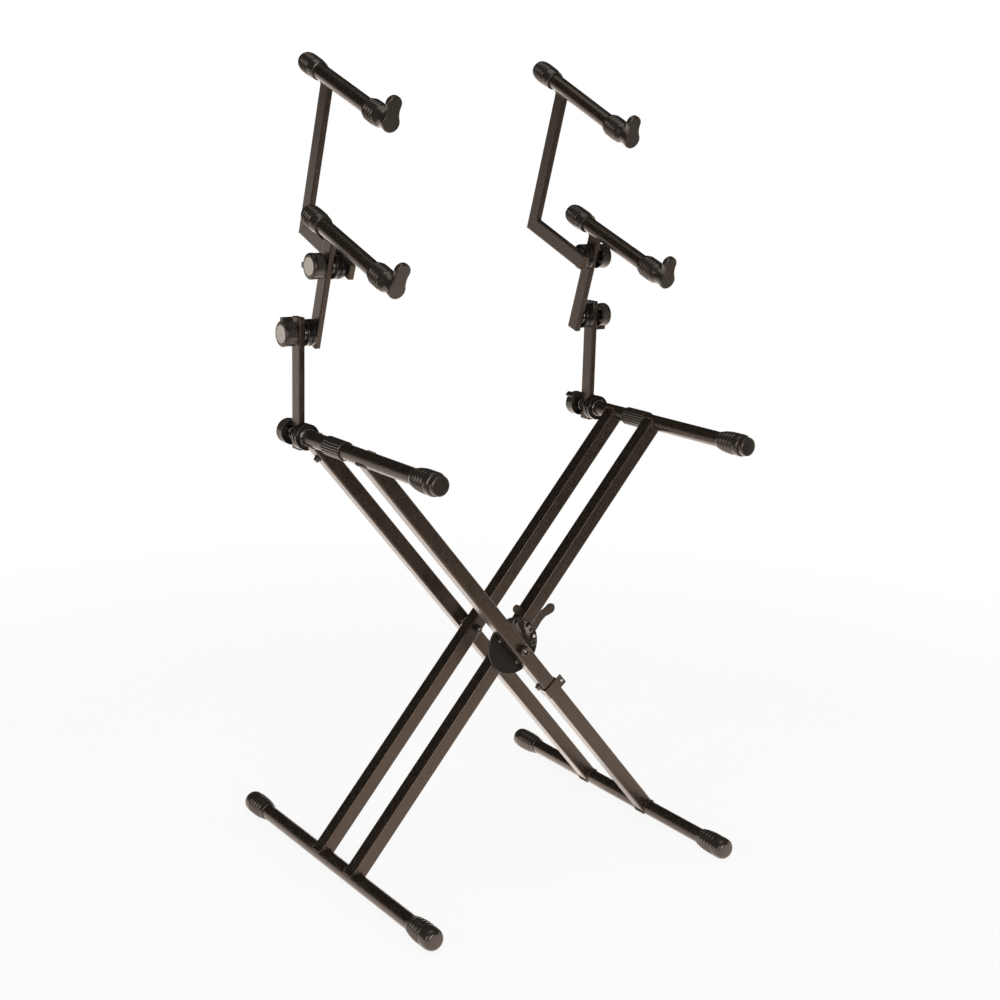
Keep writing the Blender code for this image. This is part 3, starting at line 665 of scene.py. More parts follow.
class NodeBench:
    """Short ways to place and join the nodes of one tree."""

    def __init__(self, tree: bpy.types.NodeTree) -> None:
        """Work on a tree."""
        self.tree = tree

    def node(self, kind: str, **settings: object) -> bpy.types.Node:
        """Add a node and set its properties by name."""
        made = self.tree.nodes.new(kind)
        for key, value in settings.items():
            setattr(made, key, value)
        return made

    def feed(self, node: bpy.types.Node, socket: object, value: object) -> None:
        """Give an input a value, or a link where the value is an output."""
        target = node.inputs[socket]
        if isinstance(value, bpy.types.NodeSocket):
            self.tree.links.new(value, target)
        elif isinstance(value, tuple) and len(value) == 3 and target.type == "RGBA":
            target.default_value = (*value, 1.0)
        else:
            target.default_value = value

    def math(
        self, operation: str, first: object, second: object, clamp: bool = False
    ) -> bpy.types.NodeSocket:
        """A Math node's output."""
        made = self.node("ShaderNodeMath", operation=operation, use_clamp=clamp)
        self.feed(made, 0, first)
        self.feed(made, 1, second)
        return made.outputs[0]

    def total(self, *parts: tuple[object, float]) -> bpy.types.NodeSocket:
        """The sum of outputs, each times its share."""
        found = self.math("MULTIPLY", *parts[0])
        for value, share in parts[1:]:
            found = self.math("ADD", found, self.math("MULTIPLY", value, share))
        return found

    def spread(
        self, value: object, low: float, high: float, to_low: object = 0.0, to_high: object = 1.0,
    ) -> bpy.types.NodeSocket:
        """A Map Range node's output, smooth and clamped."""
        made = self.node("ShaderNodeMapRange", interpolation_type="SMOOTHSTEP", clamp=True)
        for index, given in enumerate((value, low, high, to_low, to_high)):
            self.feed(made, index, given)
        return made.outputs[0]

    def mix(self, amount: object, first: object, second: object) -> bpy.types.NodeSocket:
        """A colour Mix node's output."""
        made = self.node("ShaderNodeMix", data_type="RGBA")
        for index, given in ((0, amount), (6, first), (7, second)):
            self.feed(made, index, given)
        return made.outputs[2]

    def choose(self, amount: object, first: object, second: object) -> bpy.types.NodeSocket:
        """A number Mix node's output."""
        made = self.node("ShaderNodeMix", data_type="FLOAT")
        for index, given in ((0, amount), (2, first), (3, second)):
            self.feed(made, index, given)
        return made.outputs[0]

    def noise(
        self, place: object, scale: object, detail: float, rough: float = 0.55
    ) -> bpy.types.NodeSocket:
        """A Noise node's value."""
        made = self.node("ShaderNodeTexNoise")
        given = {"Vector": place, "Scale": scale, "Detail": detail, "Roughness": rough}
        for socket, value in given.items():
            self.feed(made, socket, value)
        return made.outputs[0]


class FinishLibrary:
    """Builds the shared node groups once, and one material for each finish."""

    def __init__(self) -> None:
        """Build the groups."""
        self.materials: dict[str, bpy.types.Material] = {}
        self.grain = self._grain_group()
        self.wear_highlight = self._wear_highlight_group()
        self.dust = self._dust_group()

    @staticmethod
    def _group(
        name: str, inputs: Sequence[str], outputs: Sequence[str]
    ) -> tuple[NodeBench, bpy.types.bpy_prop_collection, bpy.types.Node]:
        """A new group with its sockets, each given as "Name" or "Name:Color".

        Args:
            name: Name of the group.
            inputs: Its inputs.
            outputs: Its outputs.

        Returns:
            The group's bench, the values that come in and the node that they leave by.
        """
        tree = bpy.data.node_groups.new(name, "ShaderNodeTree")
        for direction, names in (("INPUT", inputs), ("OUTPUT", outputs)):
            for given in names:
                label, _, kind = given.partition(":")
                tree.interface.new_socket(
                    label, in_out=direction, socket_type=f"NodeSocket{kind or 'Float'}"
                )
        bench = NodeBench(tree)
        return bench, bench.node("NodeGroupInput").outputs, bench.node("NodeGroupOutput")

    def _grain_group(self) -> bpy.types.NodeTree:
        """Two-toned grain.

        Fine noise and small cells at the grain's scale lie over soft patches at the
        mottle's scale. Their sum chooses between the two colours, the patches choose
        the roughness, and the cells give the height of an orange-peel surface.

        Returns:
            The group.
        """
        bench, given, out = self._group(
            "two_tone_grain", ("Grain", "Mottle", "Dark:Color", "Light:Color", "Smooth", "Rough"),
            ("Colour:Color", "Roughness", "Height"),
        )
        place = bench.node("ShaderNodeTexCoord").outputs["Object"]
        fine = bench.noise(place, given["Grain"], 4.0, 0.65)
        patch = bench.noise(place, given["Mottle"], 3.0, 0.6)
        broad = bench.noise(place, bench.math("MULTIPLY", given["Mottle"], 0.16), 2.0)
        cells = bench.node("ShaderNodeTexVoronoi", feature="SMOOTH_F1")
        bench.feed(cells, "Vector", place)
        bench.feed(cells, "Scale", bench.math("MULTIPLY", given["Grain"], 0.8))
        speck = bench.spread(fine, 0.46, 0.62)
        soft = bench.spread(patch, 0.42, 0.64)
        wide = bench.spread(broad, 0.30, 0.70)
        tone = bench.total((speck, 0.40), (soft, 0.45), (wide, 0.15))
        bench.feed(out, "Colour", bench.mix(tone, given["Dark"], given["Light"]))
        gloss = bench.total((soft, 0.6), (wide, 0.4))
        bench.feed(out, "Roughness", bench.spread(gloss, 0.0, 1.0, given["Smooth"], given["Rough"]))
        bench.feed(out, "Height", bench.total((fine, 0.6), (cells.outputs[0], 1.0)))
        return bench.tree

    def _wear_highlight_group(self) -> bpy.types.NodeTree:
        """Pale rounded edges.

        The piece's edge weight times broken noise, past a threshold, is the mask of
        where a rounded edge is painted paler: partly scuffing from use, partly a painted highlight.

        Returns:
            The group.
        """
        bench, given, out = self._group("rubbed_and_highlit_edges", ("Edge", "Amount"), ("Mask",))
        place = bench.node("ShaderNodeTexCoord").outputs["Object"]
        broken = bench.noise(place, 240.0, 5.0, 0.7)
        long = bench.noise(place, 26.0, 2.0)
        rub = bench.math("MULTIPLY", bench.math("ADD", broken, long), given["Edge"])
        bench.feed(
            out, "Mask", bench.math("MULTIPLY", bench.spread(rub, 0.55, 1.25), given["Amount"])
        )
        return bench.tree

    def _dust_group(self) -> bpy.types.NodeTree:
        """Settled dust.

        The upward part of the surface's own normal, squared, times soft noise.

        Returns:
            The group.
        """
        bench, given, out = self._group("settled_dust", ("Amount",), ("Mask",))
        coords = bench.node("ShaderNodeTexCoord").outputs
        split = bench.node("ShaderNodeSeparateXYZ")
        bench.feed(split, 0, coords["Normal"])
        up = bench.spread(split.outputs[2], 0.15, 1.0)
        cloud = bench.spread(bench.noise(coords["Object"], 55.0, 5.0, 0.65), 0.35, 0.75)
        settled = bench.math("MULTIPLY", bench.math("MULTIPLY", up, cloud), given["Amount"])
        bench.feed(out, "Mask", settled)
        return bench.tree

    def material(self, finish: CoatFinish | MetalFinish) -> bpy.types.Material:
        """The finish's material, built when it is first asked for."""
        if finish.name not in self.materials:
            self.materials[finish.name] = self._build(finish)
        return self.materials[finish.name]

    @staticmethod
    def _placed(
        bench: NodeBench, group: bpy.types.NodeTree, **values: object
    ) -> bpy.types.bpy_prop_collection:
        """Place a group in a material with its values, and return its outputs."""
        made = bench.node("ShaderNodeGroup", node_tree=group)
        for socket, value in values.items():
            bench.feed(made, socket, value)
        return made.outputs

    def _build(self, finish: CoatFinish | MetalFinish) -> bpy.types.Material:
        """Build a material from the shared groups.

        Args:
            finish: The finish's values.

        Returns:
            The material.
        """
        material = bpy.data.materials.new(finish.name)
        material.use_nodes = True
        bench = NodeBench(material.node_tree)
        shader = material.node_tree.nodes["Principled BSDF"]
        coat = isinstance(finish, CoatFinish)
        grain = self._placed(
            bench, self.grain, Grain=finish.grain,
            Mottle=finish.mottle if coat else finish.grain / 6, Dark=finish.dark,
            Light=finish.light, Smooth=finish.smooth, Rough=finish.rough,
        )
        colour, roughness, height = (grain[k] for k in ("Colour", "Roughness", "Height"))
        if coat:
            edge = bench.node("ShaderNodeAttribute", attribute_name="edge").outputs["Fac"]
            rubbed_highlight = self._placed(bench, self.wear_highlight, Edge=edge, Amount=finish.wear_highlight)["Mask"]
            dusty = self._placed(bench, self.dust, Amount=finish.dust)["Mask"]
            if finish.lines:
                colour, height = self._lined(bench, colour, height, finish)
            # Pale rounded edges: partly scuffing from use, partly a painted highlight.
            colour = bench.mix(rubbed_highlight, colour, finish.worn_highlight)
            colour = bench.mix(dusty, colour, DUST_COLOUR)
            matt = bench.math("MULTIPLY", dusty, DUST_ROUGHNESS)
            roughness = bench.math("ADD", roughness, matt, clamp=True)
            bench.feed(shader, "IOR", finish.density)
            bench.feed(shader, "Specular Tint", finish.tint)
            bench.feed(shader, "Coat Weight", finish.coat)
            bench.feed(shader, "Coat Roughness", finish.smooth * COAT_SMOOTHING)
        else:
            bench.feed(shader, "Metallic", 1.0)
        bench.feed(shader, "Base Color", colour)
        bench.feed(shader, "Roughness", roughness)
        bump = bench.node("ShaderNodeBump")
        bench.feed(bump, "Strength", BUMP_STRENGTH)
        bench.feed(bump, "Distance", finish.relief)
        bench.feed(bump, "Height", height)
        bench.feed(shader, "Normal", bump.outputs[0])
        return material

    @staticmethod
    def _lined(
        bench: NodeBench, colour: bpy.types.NodeSocket, height: bpy.types.NodeSocket,
        finish: CoatFinish,
    ) -> tuple[bpy.types.NodeSocket, bpy.types.NodeSocket]:
        """Lay fine diagonal lines over a colour and a height.

        Args:
            bench: The material's bench.
            colour: Colour output to lay them on.
            height: Height output to add them to.
            finish: The finish, for its darker tone.

        Returns:
            The new colour and height outputs.
        """
        wave = bench.node("ShaderNodeTexWave", wave_type="BANDS", bands_direction="DIAGONAL")
        bench.feed(wave, "Vector", bench.node("ShaderNodeTexCoord").outputs["Object"])
        bench.feed(wave, "Scale", 150.0)
        bench.feed(wave, "Distortion", 0.6)
        line = bench.spread(wave.outputs["Fac"], 0.25, 0.75)
        dark = tuple(0.55 * part for part in finish.dark)
        shaded = bench.mix(bench.math("MULTIPLY", line, finish.lines), colour, dark)
        return shaded, bench.math("SUBTRACT", height, bench.math("MULTIPLY", line, 1.5))


# ---------------------------------------------------------------- making pieces


@dataclass
class Workshop:
    """Turns skins into dressed pieces that ride on their bodies."""

    library: FinishLibrary
    made: int = 0

    def publish(
        self, name: str, skin: Skin, finish: CoatFinish | MetalFinish, body: str,
        nodes: Sequence[str] = (), carve: Optional[Skin] = None, crease: float = PLAIN_CREASE,
    ) -> None:
        """Make one piece.

        Args:
            name: The piece's name.
            skin: Its surface.
            finish: Its finish.
            body: The body that it rides on.
            nodes: The solids that it stands for.
            carve: A closed skin to cut away, if any.
            crease: Angle in degrees past which an edge shades sharp.
        """
        mesh = skin.mesh(name)
        if carve is not None:
            mesh = self._carved(name, mesh, carve)
        mesh.shade_smooth()
        mesh.set_sharp_from_angle(angle=math.radians(crease))
        piece = bpy.data.objects.new(name, mesh)
        bpy.context.scene.collection.objects.link(piece)
        mesh.materials.clear()
        mesh.materials.append(self.library.material(finish))
        shading = piece.modifiers.new("even_shading", "WEIGHTED_NORMAL")
        shading.keep_sharp = True
        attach(piece, body)
        if nodes:
            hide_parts(*nodes)
        self.made += 1
        LOG.info("%s: %d faces, on %s", name, len(mesh.polygons), body)

    @staticmethod
    def _carved(name: str, mesh: bpy.types.Mesh, carve: Skin) -> bpy.types.Mesh:
        """The mesh with a closed skin cut out of it.

        Args:
            name: Name of the new mesh.
            mesh: The mesh to cut.
            carve: The skin that is cut away.

        Returns:
            The cut mesh.
        """
        scene = bpy.context.scene.collection.objects
        blank = bpy.data.objects.new(name + "_blank", mesh)
        cutter = bpy.data.objects.new(name + "_cutter", carve.mesh(name + "_cutter"))
        scene.link(blank)
        scene.link(cutter)
        cut = blank.modifiers.new("cut", "BOOLEAN")
        cut.operation = "DIFFERENCE"
        cut.solver = "EXACT"
        cut.use_self = True
        cut.object = cutter
        depsgraph = bpy.context.evaluated_depsgraph_get()
        result = bpy.data.meshes.new_from_object(blank.evaluated_get(depsgraph))
        for helper in (blank, cutter):
            bpy.data.objects.remove(helper, do_unlink=True)
        result.name = name
        return result


# ---------------------------------------------------------------- shared mouldings


@dataclass(frozen=True)
class RibbedCap:
    """Outside of a rubber cap: heights and radii of its envelope and its ribs, in mm.

    The radius at height z and turn t from the top is the envelope's radius at z, less
    depth x (1 - cos of one turn a pitch) / 2 x mask, with mask going from top_depth
    at the top and the bottom to 1 on the sides.
    """

    heights: tuple[float, ...]
    radii: tuple[float, ...]
    first_crest: float = 4.2
    pitch: float = 7.6
    grooves: int = 5
    depth: float = 1.9
    top_depth: float = 0.28
    fade: tuple[float, float] = (12.0, 52.0)
    roll: float = 0.0
    slim: float = 1.0

    def lay(
        self, skin: Skin, origin: Array, axis: Array, up: Array, pocket: float, steps: int = 96
    ) -> Skin:
        """Add the cap to a skin.

        Args:
            skin: The skin.
            origin: Middle of the cap's open end.
            axis: Direction from the open end to the face.
            up: Direction of the smooth top.
            pocket: Depth of the bore for the tube.
            steps: Columns round the cap.

        Returns:
            The skin.
        """
        last = self.first_crest + self.pitch * self.grooves
        heights = np.unique(
            np.concatenate([self.heights, np.arange(1.0, last + 2.0, self.pitch / 16)])
        )
        radii = np.interp(heights, self.heights, self.radii) * self.slim
        turns = np.arange(steps) * (360.0 / steps) - self.roll
        turns = np.abs((turns + 180.0) % 360.0 - 180.0)
        phase = (heights - self.first_crest) / self.pitch
        wave = (1 - np.cos(2 * math.pi * phase)) / 2
        wave[(phase < 0.0) | (phase > self.grooves)] = 0.0
        start, end = self.fade
        side = eased((turns - start) / (end - start)) * eased((180.0 - turns) / 30.0)
        mask = self.top_depth + (1.0 - self.top_depth) * side
        outer = radii[:, None] - self.depth * wave[:, None] * mask[None]
        bore = SIZES.tube_radius / MM + 0.05
        inside = np.array([[0.0, pocket / MM], [bore, pocket / MM], [bore, heights[0]]])
        profile = np.vstack([inside, np.stack([radii, heights], axis=1), [[0.0, heights[-1]]]])
        bored = np.broadcast_to(inside[:, :1], (len(inside), steps))
        radius = np.vstack([bored, outer, np.zeros((1, steps))])
        return skin.turn(profile * MM, origin, axis, up, steps, radius=radius * MM)


FOOT_CAP = RibbedCap(
    heights=(0.0, 0.8, 4.0, 9.0, 16.0, 26.0, 36.0, 44.0, 50.0, 54.0, 57.0, 59.5, 61.4, 62.5, 63.0),
    radii=(
        13.6, 14.2, 15.0, 16.2, 17.2, 17.9, 18.0, 18.0, 17.9, 17.5, 16.8, 15.6, 13.9, 12.0, 10.0,
    ),
)
ARM_CAP = RibbedCap(
    heights=(
        0.0, 0.8, 4.0, 9.0, 16.0, 26.0, 36.0, 48.0, 50.2, 51.4, 52.1, 52.4, 54.6, 54.9, 55.4,
        56.2, 60.2, 61.4, 62.4, 63.0, 63.0,
    ),
    radii=(
        13.6, 14.0, 14.8, 16.2, 17.2, 17.9, 18.0, 17.9, 17.6, 17.0, 16.2, 14.0, 14.0, 14.5, 14.9,
        15.1, 15.1, 14.9, 14.2, 13.1, 12.8,
    ),
)
BACK_CAP = RibbedCap(
    heights=(0.0, 0.6, 2.0, 3.2, 4.0, 9.0, 14.0, 24.0, 36.0, 43.0, 47.0, 50.0, 52.2, 53.4, 54.0),
    radii=(13.4, 15.5, 15.9, 15.6, 15.3, 16.4, 17.1, 17.3, 17.2, 16.6, 15.6, 14.1, 12.1, 10.2, 8.0),
    first_crest=15.0, pitch=6.6, depth=1.7,
)
SLIM_BACK_CAP = replace(BACK_CAP, pitch=5.4, grooves=6, depth=1.4, slim=0.95)
STOP_CAP = RibbedCap(
    heights=(
        0.0, 0.8, 5.0, 10.0, 20.0, 30.0, 35.0, 38.0, 40.5, 43.0, 45.5, 47.5, 49.5, 54.0, 60.0, 60.5,
    ),
    radii=(
        13.6, 14.7, 16.6, 17.7, 17.9, 17.8, 17.5, 17.1, 16.4, 15.4, 14.4, 13.7, 13.3, 13.1, 13.0,
        12.0,
    ),
    first_crest=3.0, pitch=6.6, depth=1.7,
)


@dataclass(frozen=True)
class RosetteShape:
    """One half of a toothed clamp joint: a rim, a hub behind it and a ring of teeth."""

    radius: float = 0.021
    hub: float = 0.0128
    step: float = 0.0020
    teeth: int = 40
    tooth: float = 0.0011
    steps: int = 240

    def lay(self, skin: Skin, origin: Array, axis: Array, thickness: float) -> Skin:
        """Add the rosette to a skin.

        The rim near the mating face is stepped in, and the face's height falls by
        tooth x (1 + cos of the turn times the tooth count) / 2 on its outer part.

        Args:
            skin: The skin.
            origin: Middle of the rosette's back.
            axis: Direction from the back to the mating face.
            thickness: Distance from the back to the mating face.

        Returns:
            The skin.
        """
        far = self.radius
        rim = softened(
            [
                (SIZES.bore_radius, 0.0, 0.0), (self.hub, 0.0, 0.0), (self.hub, self.step, 0.0),
                (far, self.step, 0.0012), (far, thickness - 0.0012, 0.0005),
                (far - 0.0011, thickness - 0.0012, 0.0), (far - 0.0011, thickness, 0.0),
                (far - 0.0065, thickness, 0.0), (SIZES.bore_radius, thickness, 0.0),
            ],
            steps=5,
        )
        turns = all_round(self.steps)
        dip = self.tooth * (1 + np.cos(self.teeth * turns)) / 2
        toothed = np.isclose(rim[:, 1], thickness) & (rim[:, 0] > far - 0.002)
        height = rim[:, 1:2] - toothed[:, None] * dip[None]
        return skin.turn(rim, origin, axis, EAST + UP, self.steps, height=height, ring=True)


def washer(skin: Skin, origin: Array, axis: Array, radius: float, low: float, high: float) -> Skin:
    """Add a plain round washer with rounded rims between two heights."""
    hole = SIZES.bore_radius
    profile = softened(
        [(hole, low, 0.0), (radius, low, 0.0003), (radius, high, 0.0003), (hole, high, 0.0)],
        steps=3,
    )
    return skin.turn(profile, origin, axis, EAST + UP, 72, ring=True)


def round_tube(skin: Skin, origin: Array, axis: Array, low: float, high: float) -> Skin:
    """Add a round steel tube between two distances along its axis."""
    outer, inner = SIZES.tube_radius, SIZES.tube_radius - SIZES.tube_wall
    profile = softened(
        [(outer, low, 0.0004), (outer, high, 0.0004), (inner, high, 0.0), (inner, low, 0.0)],
        closed=True,
    )
    return skin.turn(profile, origin, axis, EAST + UP, 96, ring=True)


def hex_radius(flat: float, steps: int) -> Array:
    """Radius of a hexagon of half width flat at each of the steps round it."""
    turns = all_round(steps)
    return flat / np.cos((turns + math.pi / 6) % (math.pi / 3) - math.pi / 6)


def clamp_rosette(
    shop: Workshop, node: str, body: str, back: Array, axis: Array, skin: Optional[Skin] = None
) -> None:
    """Publish a rosette and the zinc washer behind it.

    Args:
        shop: The workshop.
        node: The solid that it stands for.
        body: The body that it rides on.
        back: Middle of the face that it is fixed to.
        axis: Direction from there to its mating face.
        skin: What is moulded on to it, if anything.
    """
    origin = back + axis * GAP
    skin = RosetteShape().lay(skin or Skin(), origin, axis, SIZES.rosette_thickness)
    shop.publish(node + "_moulding", skin, ROSETTE, body, (node,))
    ring = washer(Skin(), origin, axis, 0.0140, 0.0, 0.0018)
    shop.publish(node + "_washer_zinc", ring, ZINC, body)


def section_weld(
    skin: Skin, section: Array, x: float, places: Array, across: Array, radius: float
) -> None:
    """Lay a weld round a flat tube's section.

    The middle line of the bead at a point (a, b) of the section is at x + b, and in
    depth and height at its place + a times the vector across the tube.

    Args:
        skin: The tube's skin.
        section: Counter-clockwise points (a, b).
        x: Where the tube's middle plane is.
        places: Points (y, z) of the weld's plane, one for all or one each.
        across: Vector (y, z) across the tube.
        radius: Radius of the bead.
    """
    outward = -inward(section)
    loop = np.zeros((len(section), 3))
    loop[:, 0] = x + section[:, 1]
    loop[:, 1:] = places + section[:, :1] * across
    normals = np.hstack([outward[:, 1:], outward[:, :1] * unit(across)])
    skin.bead(loop, unit_rows(normals), radius)


@dataclass(frozen=True)
class FlatTube:
    """A flat steel tube of rounded section, mitred where its path bends."""

    corner: float = 0.0017
    rim: float = 0.0012
    seam: float = 0.0007

    def lay(self, skin: Skin, path: Array, x: float) -> Skin:
        """Add the tube to a skin.

        At each station the section's point (a, b) is path + a x mitre + b x East, where
        mitre is the bisector of the two runs, stretched by 1 / cos(half of the bend). A
        fine dressed weld runs round the bend, where there is one.

        Args:
            skin: The skin.
            path: Points (y, z), from the closed end to the far end.
            x: Where the tube's middle plane is.

        Returns:
            The skin.
        """
        runs = unit_rows(np.diff(path, axis=0))
        after = np.vstack([runs, runs[-1:]])
        middle = unit_rows(np.vstack([runs[:1], runs]) + after)
        stretch = 1.0 / (middle * after).sum(1)
        mitre = np.stack([-middle[:, 1], middle[:, 0]], axis=1) * stretch[:, None]
        section = dense(
            rounded_box_outline(SIZES.flat_depth, SIZES.flat_thickness, self.corner), 0.004, True
        )
        levels = rounded_levels(0.0, 1.0, self.rim)[:4]
        start = path[0] + runs[0] * levels[:, 1:2]
        places = np.vstack([start, path[1:]])
        mitres = np.vstack([np.repeat(mitre[:1], 4, axis=0), mitre[1:]])
        insets = np.concatenate([levels[:, 0], np.zeros(len(path) - 1)])
        flat = section[None] + insets[:, None, None] * inward(section)[None]
        grid = np.zeros((len(places), len(section), 3))
        grid[..., 0] = x + flat[..., 1]
        grid[..., 1:] = places[:, None] + flat[..., :1] * mitres[:, None]
        weight = np.broadcast_to(bend_weight(section, True)[None], grid.shape[:2]).copy()
        weight[1:3] = 1.0
        skin.add_grid(grid, weight).add_cap(grid[0]).add_cap(grid[-1])
        if len(path) > 2:
            ring = dense(section, WELD_STEP, True)
            section_weld(skin, ring, x, path[1], mitre[1], self.seam)
        return skin


# ---------------------------------------------------------------- leg frames


@dataclass
class LegFrame:
    """One leg frame: two square legs, a foot tube, a base arm and their rubber fittings."""

    kind: Kind
    shop: Workshop
    weld: float = 0.0021
    slot_left: tuple[float, float] = (0.0440, 0.0632)
    slot_right: tuple[float, float] = (0.0450, 0.0705)
    slot_depth: tuple[float, float] = (-0.0023, 0.0099)
    sleeve_radius: float = 0.0150
    sleeve_length: float = 0.053
    sleeve_middle: dict = field(default_factory=lambda: {Side.LEFT: 0.0010, Side.RIGHT: -0.0142})
    sleeve_ribs: int = 20
    turned_cap: float = 62.0
    plug_length: float = 0.015

    @property
    def body(self) -> str:
        """The frame's body."""
        return f"{self.kind.value}_frame"

    def build(self) -> None:
        """Build every piece of the frame."""
        for end in ("front", "rear"):
            self._leg(end)
        self._tubes()
        self._foot_caps()
        self._arm_fittings()

    def _leg(self, end: str) -> None:
        """Build one leg: a square tube coped to the round tubes, with its welds.

        The wall's end at a distance u across the round tube lies at half the length,
        less the root of (tube radius squared - u squared).

        Args:
            end: "front" or "rear".
        """
        y = SIZES.leg_y(self.kind, end)
        run = SIZES.leg_run(self.kind)
        centre = np.array([0.0, y, SIZES.pivot_z])
        axes = axes_of(run, BACK)
        outer = dense(
            rounded_box_outline(SIZES.leg_width, SIZES.leg_width, SIZES.leg_corner, 5), 0.0035, True
        )
        inner = outer + inward(outer) * SIZES.leg_wall
        rows = []
        for outline, order in ((outer, (-1, 1)), (inner, (1, -1))):
            reach = SIZES.leg_half_length - self._saddle(outline[:, 1])
            stations = order[0] * np.linspace(1.0, -1.0, 7)
            flat = np.broadcast_to(outline[None], (7, *outline.shape))
            rise = stations[:, None] * reach[None]
            rows.append(np.dstack([flat, rise]))
        grid = np.vstack(rows) @ axes + centre
        weight = np.broadcast_to(bend_weight(outer, True)[None], grid.shape[:2]).copy()
        weight[7:] = 0.0
        skin = Skin().add_grid(grid, weight, loop_rows=True)
        for sign in (-1.0, 1.0):
            self._saddle_weld(skin, centre, axes, sign)
        carve = self._lever_slot() if (self.kind, end) == (Kind.INNER, "front") else None
        node = f"{self.kind.value}_leg_{end}"
        self.shop.publish(node + "_steel", skin, POWDER_COAT, self.body, (node,), carve)

    @staticmethod
    def _saddle(across: Array) -> Array:
        """Height of a round tube's surface above its axis, at distances across it."""
        radius = SIZES.tube_radius - 0.0002
        return np.sqrt(np.clip(radius**2 - across**2, 0.0, None))

    def _saddle_weld(self, skin: Skin, centre: Array, axes: Array, sign: float) -> None:
        """Lay the weld where a leg meets a round tube.

        Args:
            skin: The leg's skin.
            centre: Middle of the leg.
            axes: Rows of the leg's local axes.
            sign: -1 at the lower end, +1 at the upper.
        """
        outline = dense(
            rounded_box_outline(SIZES.leg_width, SIZES.leg_width, SIZES.leg_corner, 8), WELD_STEP,
            True,
        )
        outward = -inward(outline)
        reach = SIZES.leg_half_length - self._saddle(outline[:, 1]) + 0.0004
        loop = np.column_stack([outline + outward * 0.0002, sign * reach]) @ axes + centre
        loop = dense(loop, WELD_STEP, True)
        flat = (loop - centre) @ axes.T
        normals = np.zeros_like(loop)
        side = SIZES.leg_width / 2 - SIZES.leg_corner
        normals[:, :2] = flat[:, :2] - np.clip(flat[:, :2], -side, side)
        skin.bead(loop, unit_rows(normals @ axes), self.weld)

    def _lever_slot(self) -> Skin:
        """The slot through the inner front leg that the trigger's lever slides in.

        Its outline is a rounded box at each wall, and straight between the two walls.

        Returns:
            The skin to cut away.
        """
        front, back = self.slot_depth
        y = SIZES.leg_y(self.kind, "front")
        half = SIZES.leg_width / 2
        rows = []
        for across, (low, high) in (
            (-half - 0.004, self.slot_left), (-half + 0.002, self.slot_left),
            (half - 0.002, self.slot_right), (half + 0.004, self.slot_right),
        ):
            flat = rounded_box_outline(high - low, back - front, 0.0015, 3)
            rise = np.full((len(flat), 1), across)
            place = SIZES.leg_point(self.kind, y + (front + back) / 2, (low + high) / 2)
            axes = axes_of(SIZES.leg_side(self.kind), SIZES.leg_run(self.kind))
            rows.append(np.hstack([flat, rise]) @ axes + place)
        return Skin().add_grid(np.stack(rows)).add_cap(rows[0]).add_cap(rows[-1])

    def _tubes(self) -> None:
        """Build the foot tube and the base arm."""
        kind = self.kind.value
        foot_x = self.kind.foot_side.sign * SIZES.arm_x
        reach = SIZES.foot_reach - SIZES.cap_length + SIZES.cap_pocket
        skin = round_tube(Skin(), np.array([foot_x, 0.0, SIZES.foot_z]), BACK, -reach, reach)
        self.shop.publish(
            f"{kind}_foot_steel", skin, POWDER_COAT, self.body, (f"{kind}_foot_tube",),
        )
        arm = np.array([self.kind.arm_side.sign * SIZES.arm_x, 0.0, SIZES.arm_z])
        front = SIZES.arm_front + SIZES.cap_length - SIZES.cap_pocket
        skin = round_tube(Skin(), arm, BACK, front, SIZES.arm_rear)
        self.shop.publish(f"{kind}_arm_steel", skin, POWDER_COAT, self.body, (f"{kind}_arm_tube",))

    def _foot_caps(self) -> None:
        """Build the two rubber caps of the foot tube."""
        side = self.kind.foot_side
        foot = np.array([side.sign * SIZES.arm_x, 0.0, SIZES.foot_z])
        for end, axis in (("front", FRONT), ("back", BACK)):
            open_end = foot + axis * (SIZES.foot_reach - SIZES.cap_length)
            turned = side is Side.RIGHT and end == "front"
            shape = replace(FOOT_CAP, roll=self.turned_cap if turned else 0.0)
            skin = shape.lay(Skin(), open_end, axis, UP, SIZES.cap_pocket + GAP)
            node = f"{side.value}_foot_cap_{end}"
            self.shop.publish(
                node + "_rubber", skin, RUBBER, self.body, (node,), crease=RIBS_CREASE,
            )

    def _arm_fittings(self) -> None:
        """Build the base arm's front cap, its sleeve and the rosette in its rear end."""
        side = self.kind.arm_side
        arm = np.array([side.sign * SIZES.arm_x, 0.0, SIZES.arm_z])
        open_end = arm + BACK * (SIZES.arm_front + SIZES.cap_length)
        skin = ARM_CAP.lay(Skin(), open_end, FRONT, UP, SIZES.cap_pocket + GAP)
        node = f"{side.value}_arm_cap"
        self.shop.publish(node + "_rubber", skin, RUBBER, self.body, (node,), crease=RIBS_CREASE)
        node = f"{side.value}_arm_sleeve"
        skin = self._sleeve(arm + BACK * self.sleeve_middle[side])
        self.shop.publish(node + "_rubber", skin, RUBBER, self.body, (node,), crease=RIBS_CREASE)
        self._arm_rosette(side, arm + BACK * SIZES.arm_rear)

